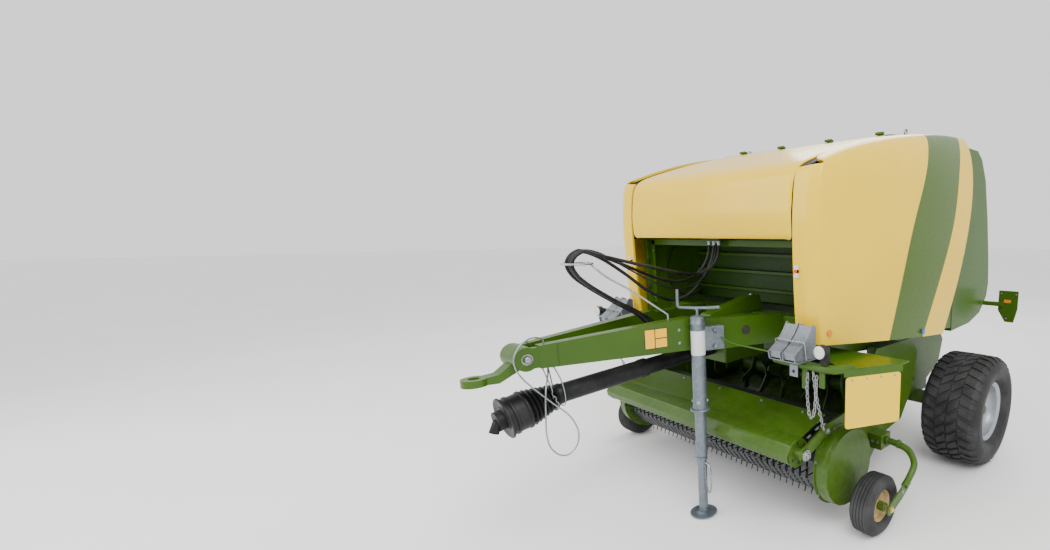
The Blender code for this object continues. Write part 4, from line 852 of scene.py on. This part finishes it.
bend = smooth_line([(0.297, -0.971, crank_z - 0.004), (0.285, -0.977, crank_z), (0.200, -1.018, crank_z),
                    (0.188, -1.0235, crank_z + 0.004), (0.184, -1.025, crank_z + 0.016)], 0.008)
line = [JACK + Vector((0, 0, 1.3003)), JACK + Vector((0, 0, crank_z - 0.012))] + bend
line.append(Vector((0.184, -1.025, crank_z + 0.11)))
crank = round_bar("jack_crank_rod", line, 0.0095, jack_zinc)
grip = round_bar("jack_crank_arm",
                 [Vector((0.285, -0.977, crank_z)), Vector((0.362, -0.940, crank_z + 0.004)),
                  Vector((0.432, -0.906, crank_z + 0.012))], 0.0095, jack_zinc)
label = turned("jack_label", [(0.0434, 0.0), (0.0438, 0.0), (0.0438, 0.150), (0.0434, 0.150)],
               JACK + Vector((0, 0, 1.060)), (0, 0, 1), white_film, 40)
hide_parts("jack_crank")
for piece in (crank, grip, label):
    fit(piece, "chassis")

# ---- main wheels -----------------------------------------------------------------------
# Wide flotation tyres with a shallow block tread, on silver dished steel rims with hand
# holes, bolted to hubs on the axle stubs.
AXLE_Y = 0.96
TRACK_HALF = 1.25
TYRE_RADIUS, RIM_RADIUS = 0.43, 0.23
SHOULDER = 0.175                   # where the tread starts to round off, from its middle
BLOCKS_ROUND = 34
tyre_rubber = rubber("tyre_rubber", (0.022, 0.022, 0.023), 0.62, 220.0)
silver = galvanised("silver_lacquer", (0.33, 0.35, 0.375), 0.36, 600.0, 0.45)


def crown(x):
    """Radius of a main tyre's tread at x from its middle."""
    x = abs(x)
    if x < SHOULDER:
        return TYRE_RADIUS - 0.004 * (x / SHOULDER) ** 2
    return TYRE_RADIUS - 0.004 - 0.031 * min(1.0, (x - SHOULDER) / 0.035) ** 1.5


BLOCKS = ((-0.082, -0.006, 0.35), (0.006, 0.082, -0.35), (-0.205, -0.092, -0.25), (0.092, 0.205, 0.25))
for side, sign in SIDES:
    centre = (sign * TRACK_HALF, AXLE_Y, TYRE_RADIUS)
    wall = [(RIM_RADIUS + 0.0005, 0.176), (RIM_RADIUS + 0.012, 0.186), (0.252, 0.205), (0.285, 0.222),
            (0.318, 0.2238), (0.322, 0.2248), (0.338, 0.2248), (0.342, 0.2236), (0.372, 0.219)]
    tread = [(crown(x) - 0.013, x)
             for x in (0.205, 0.190, 0.175, 0.12, 0.06, 0.0, -0.06, -0.12, -0.175, -0.190, -0.205)]
    tyre = turned("tyre_body_" + side, wall + tread + [(r, -x) for r, x in reversed(wall)], centre,
                  (sign, 0, 0), tyre_rubber, 96)
    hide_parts("tyre_" + side)
    turn = Vector((sign, 0, 0)).to_track_quat("Z", "Y").to_matrix().to_4x4()
    shift = Matrix.Translation(centre) @ turn
    bm = bmesh.new()
    for row, (low, high, skew) in enumerate(BLOCKS):
        step = math.tau / BLOCKS_ROUND
        for k in range(BLOCKS_ROUND):
            start = step * (k + (0.5 if row % 2 else 0.0))
            wide = step * (0.70 if row < 2 else 0.62)
            rows = []
            for share in (0.0, 0.33, 0.66, 1.0):
                x = low + (high - low) * share
                begin = start + skew * step * share * (2.0 if low >= 0 else -2.0)
                top = min(crown(x), TYRE_RADIUS - 0.0002) - 0.0004
                rows.append([bm.verts.new((r * math.cos(a), r * math.sin(a), x))
                             for r, a in ((top - 0.020, begin), (top, begin + wide * 0.06),
                                          (top, begin + wide * 0.94), (top - 0.020, begin + wide))])
            for near, far in zip(rows, rows[1:]):
                for j in range(3):
                    bm.faces.new((near[j], near[j + 1], far[j + 1], far[j]))
            bm.faces.new(rows[0])
            bm.faces.new(rows[-1][::-1])
    bmesh.ops.recalc_face_normals(bm, faces=bm.faces)
    bmesh.ops.transform(bm, matrix=shift, verts=bm.verts)
    blocks = finished("tyre_tread_" + side, bm, tyre_rubber, 30.0)
    rim = turned("rim_dish_" + side,
                 [(0.0, 0.088), (0.070, 0.088), (0.078, 0.082), (0.084, 0.066), (0.120, 0.060),
                  (0.160, 0.072), (0.186, 0.098), (0.196, 0.130), (0.200, 0.158), (0.214, 0.166),
                  (0.226, 0.172), (0.2295, 0.175), (0.2295, -0.175), (0.214, -0.166), (0.200, -0.150),
                  (0.196, -0.04), (0.182, 0.080), (0.155, 0.062), (0.120, 0.050), (0.0, 0.050)], centre,
                 (sign, 0, 0), silver, 72)
    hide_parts("rim_" + side)
    cutters = bmesh.new()
    for k in range(8):
        angle = math.tau * k / 8
        made = bmesh.ops.create_cone(cutters, cap_ends=True, segments=3, radius1=0.026, radius2=0.026,
                                     depth=0.12)["verts"]
        place = shift @ Matrix.Rotation(angle, 4, "Z") @ Matrix.Translation((0.143, 0, 0.07))
        bmesh.ops.transform(cutters, matrix=place, verts=made)
    cutter = finished("rim_holes_" + side, cutters, silver)
    hole = rim.modifiers.new("holes", "BOOLEAN")
    hole.object, hole.operation, hole.solver = cutter, "DIFFERENCE", "EXACT"
    bpy.context.view_layer.update()
    cut = bpy.data.meshes.new_from_object(rim.evaluated_get(bpy.context.evaluated_depsgraph_get()))
    rim.modifiers.clear()
    rim.data = cut
    rim.data.set_sharp_from_angle(angle=math.radians(38))
    bpy.data.objects.remove(cutter)
    hub = turned("hub_" + side,
                 [(0.0, 0.138), (0.026, 0.138), (0.034, 0.132), (0.036, 0.104), (0.052, 0.100),
                  (0.056, 0.0885), (0.0, 0.0885)], centre, (sign, 0, 0), green, 36)
    stub = turned("hub_drum_" + side,
                  [(0.0, 0.0495), (0.085, 0.0495), (0.090, 0.030), (0.090, -0.100), (0.075, -0.129),
                   (0.0, -0.129)], centre, (sign, 0, 0), green, 36)
    fasteners("wheel_nuts_" + side, "wheel_" + side,
              [((sign * (TRACK_HALF + 0.0605), AXLE_Y + 0.102 * math.cos(a),
                 TYRE_RADIUS + 0.102 * math.sin(a)), (sign, 0, 0))
               for a in (math.tau * k / 8 for k in range(8))], 0.011, bright_zinc)
    for piece, finish in ((tyre, "tyre_rubber"), (blocks, "tyre_rubber"), (rim, "silver_rim"),
                          (hub, "green_paint"), (stub, "green_paint")):
        fit(piece, "wheel_" + side)

# ---- pickup ----------------------------------------------------------------------------
# Welded green frame with round end drums, dark steel stripper bands with slots, and a reel
# of tine bars.  The spring tines are bolted to the bars and reach out through the slots.
REEL = Vector((0.0, -0.47, 0.385))
BAR_CIRCLE = 0.144
TINES, TINE_PITCH = 36, 0.055
refined("pickup_frame", "pickup", green, 0.003)
band_steel = galvanised("stripper_steel", (0.060, 0.063, 0.067), 0.42, 30.0, 0.5)
refined("pickup_strippers", "pickup", band_steel, 0.0)
tine_black = rubber("tine_black", (0.016, 0.016, 0.017), 0.45, 120.0)
bm = bmesh.new()
for spot, radius, length in (((0, 0), 0.045, 1.9588),) + tuple(
        ((BAR_CIRCLE * math.cos(a), BAR_CIRCLE * math.sin(a)), 0.016, 1.950)
        for a in (math.pi / 2 * k for k in range(4))):
    cross_pin(bm, REEL + Vector((0, *spot)), radius, length, 20)
for x in (-0.93, -0.47, 0.0, 0.47, 0.93):
    cross_pin(bm, REEL + Vector((x, 0, 0)), 0.168, 0.010, 36)
reel = finished("tine_reel_shaft", bm, dark_green)
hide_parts("tine_reel")
bm = bmesh.new()
for bar in range(4):
    base = math.radians(270.0 + 90.0 * bar)
    for i in range(TINES):
        x = (i - (TINES - 1) / 2) * TINE_PITCH
        rings = []
        for radius, lag, thick in ((0.140, 0.0, 0.0042), (0.190, 0.3, 0.0042), (0.232, 0.6, 0.0042),
                                   (0.258, 0.0, 0.0041), (0.2748, -1.2, 0.0036)):
            angle = base + math.radians(lag)
            spot = REEL + Vector((x, radius * math.cos(angle), radius * math.sin(angle)))
            side_way = Vector((0.0, -math.sin(angle), math.cos(angle)))
            rings.append(wire_ring(bm, spot, Vector((1, 0, 0)), side_way, thick))
        wire_skin(bm, rings)
        bm.faces.new(rings[0][::-1])
        bm.faces.new(rings[-1])
        if i % 2 == 0:
            cross_pin(bm,
                      REEL + Vector((x + TINE_PITCH / 2, BAR_CIRCLE * math.cos(base),
                                     BAR_CIRCLE * math.sin(base))), 0.021, 0.046, 10)
bmesh.ops.recalc_face_normals(bm, faces=bm.faces)
tines = finished("spring_tines", bm, tine_black, 60.0)
for piece, finish in ((reel, "green_paint"), (tines, "black_plastic")):
    fit(piece, "tine_reel")

# end drums: pressed covers with a raised rim, screwed on
for side, sign in SIDES:
    cap = turned("drum_cover_" + side,
                 [(0.0, 0.0880), (0.120, 0.0880), (0.128, 0.0860), (0.205, 0.0858), (0.222, 0.0800),
                  (0.2345, 0.0660), (0.2365, 0.0560), (0.2365, 0.0080), (0.2480, 0.0060), (0.2480, 0.0),
                  (0.0, 0.0)], (sign * 0.9955, REEL.y, REEL.z), (sign, 0, 0), green, 64)
    fit(cap, "pickup")
fasteners("pickup_bolts", "pickup",
          [((sign * 1.0017, REEL.y + 0.2405 * math.cos(a), REEL.z + 0.2405 * math.sin(a)), (sign, 0, 0))
           for sign in (1, -1) for a in (math.radians(d) for d in (100, 160, 215, 270, 325, 20))]
          + [((sign * 0.9952, y, z), (sign, 0, 0)) for sign in (1, -1)
             for y, z in ((-0.10, 0.66), (0.05, 0.68), (0.16, 0.70), (-0.04, 0.42))], 0.007, bright_zinc)

# ---- windguard -------------------------------------------------------------------------
# Crop roll and deflector folded from one green sheet, with end plates, on two arms that
# swing on the pickup; chains from the front guard carry its weight.
refined("windguard", "windguard", green, 0.0015)
up = Vector((0.0, -0.069, 0.206)).normalized()    # square to the deflector's slope
fasteners("deflector_bolts", "windguard",
          [(Vector((x, -0.5755, 0.7000)) + up * 0.0005, up) for x in (-0.78, -0.367, 0.041, 0.450, 0.80)],
          0.008, bright_zinc)
ROLL = Vector((0.9556, -0.800, 0.550))
# The holes and short slots in the roll's end plates are not cut: thin black marks stand for them, painted
# shade of the roll's hollow inside.
slots = bmesh.new()
for sign in (1, -1):
    for k in range(5):
        angle = math.radians(-150 + 62 * k)
        spot, inner = (Vector((sign * ROLL.x, ROLL.y + reach * math.cos(angle),
                               ROLL.z + reach * math.sin(angle))) for reach in (0.062, 0.052))
        cross_pin(slots, spot, 0.0075, 0.0012, 14)
        half = Vector((0.0006, 0.006, 0.0028))
        solid_box(slots, inner - half, inner + half, Matrix.Rotation(angle, 3, "X"))
fit(finished("roll_slot_shade", slots, black_plastic), "windguard")
for side, sign in SIDES:
    nut = turned("roll_boss_" + side,
                 [(0.0, 0.022), (0.012, 0.022), (0.014, 0.018), (0.014, 0.012), (0.024, 0.012),
                  (0.026, 0.009), (0.026, 0.004), (0.033, 0.003), (0.033, 0.0), (0.0, 0.0)],
                 (sign * 1.0252, -0.814, 0.557), (sign, 0, 0), bright_zinc, 32)
    pivot = turned("windguard_pivot_" + side,
                   [(0.0, 0.014), (0.010, 0.014), (0.011, 0.006), (0.018, 0.005), (0.018, 0.0),
                    (0.0, 0.0)], (sign * 1.0122, -0.60, 0.632), (sign, 0, 0), bright_zinc, 24)
    for piece in (nut, pivot):
        fit(piece, "windguard")

# ---- gauge wheels and their arms ---------------------------------------------------------
# Small ribbed tyres on cream moulded rims, each on a bent green tube that is clamped in a
# foot on the pickup, and ends in a flat blade with the wheel bolt.
GAUGE = Vector((1.242, -0.431, 0.185))
rim_cream = panel_paint("rim_cream", (0.45, 0.33, 0.13), 0.38)
brass = galvanised("yellow_zinc", (0.62, 0.45, 0.18), 0.30, 300.0, 0.9)
for side, sign in SIDES:
    centre = Vector((sign * GAUGE.x, GAUGE.y, GAUGE.z))
    half = [(0.094, 0.047), (0.100, 0.058), (0.112, 0.070), (0.132, 0.0755), (0.150, 0.0750),
            (0.164, 0.068), (0.172, 0.058), (0.178, 0.050)]
    crown_line = []
    for k in range(5):
        x = 0.042 - 0.021 * k
        if k:
            crown_line += [(0.1775, x + 0.0125), (0.1775, x + 0.0095)]
        crown_line += [(0.1838 - abs(x) * 0.03, x + 0.0075), (0.1848 - abs(x) * 0.03, x),
                       (0.1838 - abs(x) * 0.03, x - 0.0075)]
    tyre = turned("gauge_tyre_" + side, half + crown_line + [(r, -x) for r, x in reversed(half)]
                  + [half[0]], centre, (sign, 0, 0), tyre_rubber, 64)
    hub = turned("gauge_rim_" + side,
                 [(0.0, 0.034), (0.026, 0.034), (0.032, 0.030), (0.036, 0.018), (0.060, 0.014),
                  (0.082, 0.022), (0.090, 0.044), (0.1005, 0.0560), (0.0950, 0.0450), (0.0950, -0.0450),
                  (0.1005, -0.0560), (0.090, -0.044), (0.082, -0.022), (0.036, -0.018), (0.0, -0.034)],
                 centre, (sign, 0, 0), rim_cream, 48)
    boss = turned("gauge_hub_" + side,
                  [(0.0, 0.0828), (0.024, 0.0828), (0.028, 0.078), (0.028, 0.030), (0.0, 0.030)], centre,
                  (sign, 0, 0), green, 32)
    back = turned("gauge_hub_back_" + side,
                  [(0.0, -0.030), (0.026, -0.030), (0.026, -0.070), (0.022, -0.0745), (0.0, -0.0745)],
                  centre, (sign, 0, 0), green, 32)
    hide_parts("gauge_wheel_" + side)
    for piece, finish in ((tyre, "tyre_rubber"), (hub, "silver_rim"), (boss, "green_paint"),
                          (back, "green_paint")):
        fit(piece, "gauge_wheel_" + side)
    line = smooth_line(
        [(sign * x, y, z)
         for x, y, z in ((1.06, -0.06, 0.43), (1.16, -0.06, 0.43), (1.27, -0.07, 0.41),
                         (1.345, -0.13, 0.365), (1.356, -0.20, 0.31), (1.356, -0.27, 0.27))], 0.012)
    arm = round_bar("gauge_arm_tube_" + side, line, 0.022, green, 5)
    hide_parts("gauge_arm_" + side)
    bm = bmesh.new()
    near, far = sorted((sign * 0.9955, sign * 1.10))
    solid_box(bm, (near, -0.12, 0.375), (far, 0.0, 0.475))
    for x in (1.112, 1.196):
        cross_pin(bm, (sign * x, -0.06, 0.43), 0.029, 0.020, 28)
    foot = rounded(finished("gauge_arm_foot_" + side, bm, green), 0.004, 2, 50.0)
    bm = bmesh.new()
    outline = [(-0.215, 0.318), (-0.190, 0.262), (-0.300, 0.200), (-0.432, 0.150), (-0.462, 0.158),
               (-0.474, 0.182), (-0.462, 0.212), (-0.330, 0.262)]
    prism(bm, *([(sign * x, y, z) for y, z in outline] for x in (1.350, 1.362)))
    bmesh.ops.recalc_face_normals(bm, faces=bm.faces)
    blade = rounded(finished("gauge_blade_" + side, bm, green), 0.002, 2)
    bolt = turned("gauge_bolt_" + side,
                  [(0.0, 0.053), (0.010, 0.053), (0.012, 0.050), (0.012, 0.040), (0.020, 0.040),
                   (0.020, 0.037), (0.013, 0.0365), (0.013, 0.0), (0.0, 0.0)],
                  (sign * 1.3255, GAUGE.y, GAUGE.z), (sign, 0, 0), brass, 24)
    for piece, finish in ((arm, "green_paint"), (foot, "green_paint"), (blade, "green_paint"),
                          (bolt, "bare_steel")):
        fit(piece, "pickup")
fasteners("gauge_foot_bolts", "pickup",
          [((sign * x, -0.1205, 0.425), (0, -1, 0)) for sign in (1, -1) for x in (1.03, 1.07)]
          + [((sign * 1.3622, y, z), (sign, 0, 0)) for sign in (1, -1)
             for y, z in ((-0.245, 0.276), (-0.300, 0.244))], 0.008, bright_zinc)

# ---- front guards, steps and what they carry ---------------------------------------------
# Bent green tube with a folded step behind it.  It carries lugs, a lamp, the wheel chocks
# and a cream plastic flap, and chains hang from it to the windguard.
for side, sign in SIDES:
    refined("front_guard_" + side, "chassis", green, 0.0015)
FLAP_THICKNESS = 0.005
RAIL_TOP = 1.07 + 0.0245 * math.cos(math.pi / 10)
chock_zinc = galvanised("chock_zinc", (0.215, 0.235, 0.260), 0.34, 90.0, 0.7)
for side, sign in SIDES:
    bm = bmesh.new()
    low = RAIL_TOP + 0.0003
    solid_box(bm, (min(sign * 0.80, sign * 1.01), -0.87, low),
              (max(sign * 0.80, sign * 1.01), -0.705, low + 0.006))
    for x in (0.808, 0.910):
        outline = [(-0.885, low + 0.007), (-0.705, low + 0.007), (-0.705, low + 0.185),
                   (-0.735, low + 0.200), (-0.778, low + 0.140), (-0.830, low + 0.090),
                   (-0.895, low + 0.050)]
        for near, far, inset in ((x, x + 0.006, 0.0), (x + 0.086, x + 0.092, 0.0),
                                 (x + 0.006, x + 0.086, 0.008)):
            middle = (sum(y for y, z in outline) / 7, sum(z for y, z in outline) / 7)
            shape = [(y + (middle[0] - y) * inset / 0.08, z + (middle[1] - z) * inset / 0.08)
                     for y, z in outline]
            prism(bm, *([(sign * at, y, z) for y, z in shape] for at in (near, far)))
        for y, z in ((-0.745, low + 0.178), (-0.772, low + 0.142), (-0.805, low + 0.108),
                     (-0.845, low + 0.077)):
            cross_pin(bm, (sign * (x + 0.046), y + 0.006, z - 0.004), 0.007, 0.084, 10)
    bmesh.ops.recalc_face_normals(bm, faces=bm.faces)
    fit(rounded(finished("wheel_chock_pair_" + side, bm, chock_zinc), 0.0015, 2), "chassis",
        "wheel_chocks_" + side)
    strap = round_bar("chock_strap_" + side,
                      smooth_line(
        [(sign * x, y, z)
         for x, y, z in ((0.800, -0.800, low + 0.010), (0.799, -0.815, low + 0.09),
                         (0.812, -0.822, low + 0.112), (0.905, -0.826, low + 0.112),
                         (0.998, -0.822, low + 0.112), (1.010, -0.815, low + 0.09),
                         (1.009, -0.800, low + 0.010))], 0.01), 0.004, bright_zinc)
    fit(strap, "chassis")

    lamp_z = RAIL_TOP + 0.078
    bm = bmesh.new()
    near, far = sorted((sign * 1.100, sign * 1.145))
    solid_box(bm, (near, -0.800, RAIL_TOP + 0.0004), (far, -0.765, lamp_z + 0.020))
    stand = rounded(finished("lamp_stand_" + side, bm, black_plastic), 0.006, 3)
    housing = turned("lamp_housing_" + side,
                     [(0.0, 0.0), (0.030, 0.0), (0.038, 0.008), (0.040, 0.040), (0.036, 0.044),
                      (0.0, 0.044)], (sign * 1.1225, -0.790, lamp_z), (0, -1, 0), black_plastic, 32)
    glass = turned("lamp_glass_" + side,
                   [(0.035, 0.0), (0.035, 0.004), (0.026, 0.009), (0.012, 0.0112), (0.0, 0.0116)],
                   (sign * 1.1225, -0.834, lamp_z), (0, -1, 0), clear_lens, 32)
    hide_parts("front_lamp_" + side)
    for piece in (stand, housing, glass):
        fit(piece, "chassis")

    # the flap follows the slanted end of the guard
    start, end = Vector((sign * 1.217, -0.735, 0.0)), Vector((sign * 1.385, -0.405, 0.0))
    run = (end - start).normalized()
    out = Vector((run.y * sign, -run.x * sign, 0.0))
    length = (end - start).length
    bm = bmesh.new()
    outline = []
    for corner_s, corner_z, angle0 in ((length - 0.030, 0.755, -90), (length - 0.030, 1.0095, 0),
                                       (0.030, 1.0095, 90), (0.030, 0.755, 180)):
        for k in range(5):
            a = math.radians(angle0 + 22.5 * k)
            outline.append((corner_s + 0.019 * math.cos(a), corner_z + 0.019 * math.sin(a)))
    prism(bm, *([start + run * s + Vector((0, 0, z)) - out * depth for s, z in outline]
                for depth in (0.0, FLAP_THICKNESS)))
    bmesh.ops.recalc_face_normals(bm, faces=bm.faces)
    fit(rounded(finished("flap_plate_" + side, bm, cream), 0.0012, 2), "chassis",
        "mud_flap_" + side)
    rivets = [(start + run * s + Vector((0, 0, 1.012)) + out * 0.0002, out) for s in (0.05, 0.14, 0.23, 0.32)]
    fasteners("flap_rivets_" + side, "chassis", rivets, 0.0045, bright_zinc)

CHAIN_WIRE = 0.0034
chain("guard_chain_left", "chassis",
      [(1.012, -0.790, 1.035), (1.016, -0.800, 0.94), (1.022, -0.795, 0.83), (1.035, -0.790, 0.775),
       (1.055, -0.790, 0.80), (1.066, -0.788, 0.90), (1.070, -0.786, 1.00), (1.072, -0.784, 1.045)],
      CHAIN_WIRE)
for side, sign in SIDES:
    chain("windguard_chain_" + side, "chassis",
          [(sign * x, y, z)
           for x, y, z in ((1.045, -0.785, 1.045), (1.044, -0.765, 0.94), (1.036, -0.715, 0.80),
                           (1.026, -0.650, 0.645))], CHAIN_WIRE)
link = round_bar("guard_link_rod",
                 smooth_line(
    [(0.352, -0.830, 1.150), (0.420, -0.800, 1.120), (0.520, -0.770, 1.105), (0.640, -0.752, 1.098),
     (0.760, -0.760, 1.100)], 0.02), 0.006, green)
fit(link, "chassis")
bm = bmesh.new()
solid_box(bm, (0.895, -0.8085, 1.000), (0.955, -0.8055, 1.068))
tag = rounded(finished("guard_tag_plate", bm, chock_zinc), 0.001)
# The tag's hole is not cut: a thin black disc stands for it, painted shade seen through the hole.
hole = turned("guard_tag_hole_shade", [(0.0, 0.0008), (0.010, 0.0008), (0.010, 0.0), (0.0, 0.0)],
              (0.925, -0.8087, 1.030), (0, -1, 0), black_plastic, 20)
for piece in (tag, hole):
    fit(piece, "chassis")

# ---- blank plates and marks on the covers ------------------------------------------------
# Small self-adhesive discs and a strip, with no lettering.
orange = panel_paint("orange_film", (0.75, 0.22, 0.01), 0.35)
blue = panel_paint("blue_film", (0.03, 0.12, 0.42), 0.35)
red = panel_paint("red_film", (0.62, 0.03, 0.03), 0.35)
for side, sign in SIDES:
    for name, mat, spot, out, radius in (("orange", orange, (1.0005, -0.575, 1.222), (1.0, -0.25, 0.0),
                                          0.017),
                                         ("blue", blue, (1.1335, 0.350, 1.112), (1.0, -0.02, 0.0),
                                          0.020)):
        out = Vector((sign * out[0], out[1], out[2])).normalized()
        disc = turned(f"{name}_disc_{side}",
                      [(0.0, 0.0012), (radius, 0.0010), (radius, -0.004), (0.0, -0.004)],
                      Vector((sign * spot[0], spot[1], spot[2])) + out * 0.0022, out, mat, 28)
        fit(disc, "cover_" + side)
    for name, mat, z0, z1 in (("white", white_film, 1.540, 1.610), ("red", red, 1.565, 1.585)):
        bm = bmesh.new()
        near, far = sorted((sign * 0.828, sign * 0.850))
        out = 0.0016 if name == "white" else 0.0024
        solid_box(bm, (near, -0.6895 - out, z0), (far, -0.674, z1))
        fit(finished(f"{name}_strip_{side}", bm, mat), "cover_" + side)
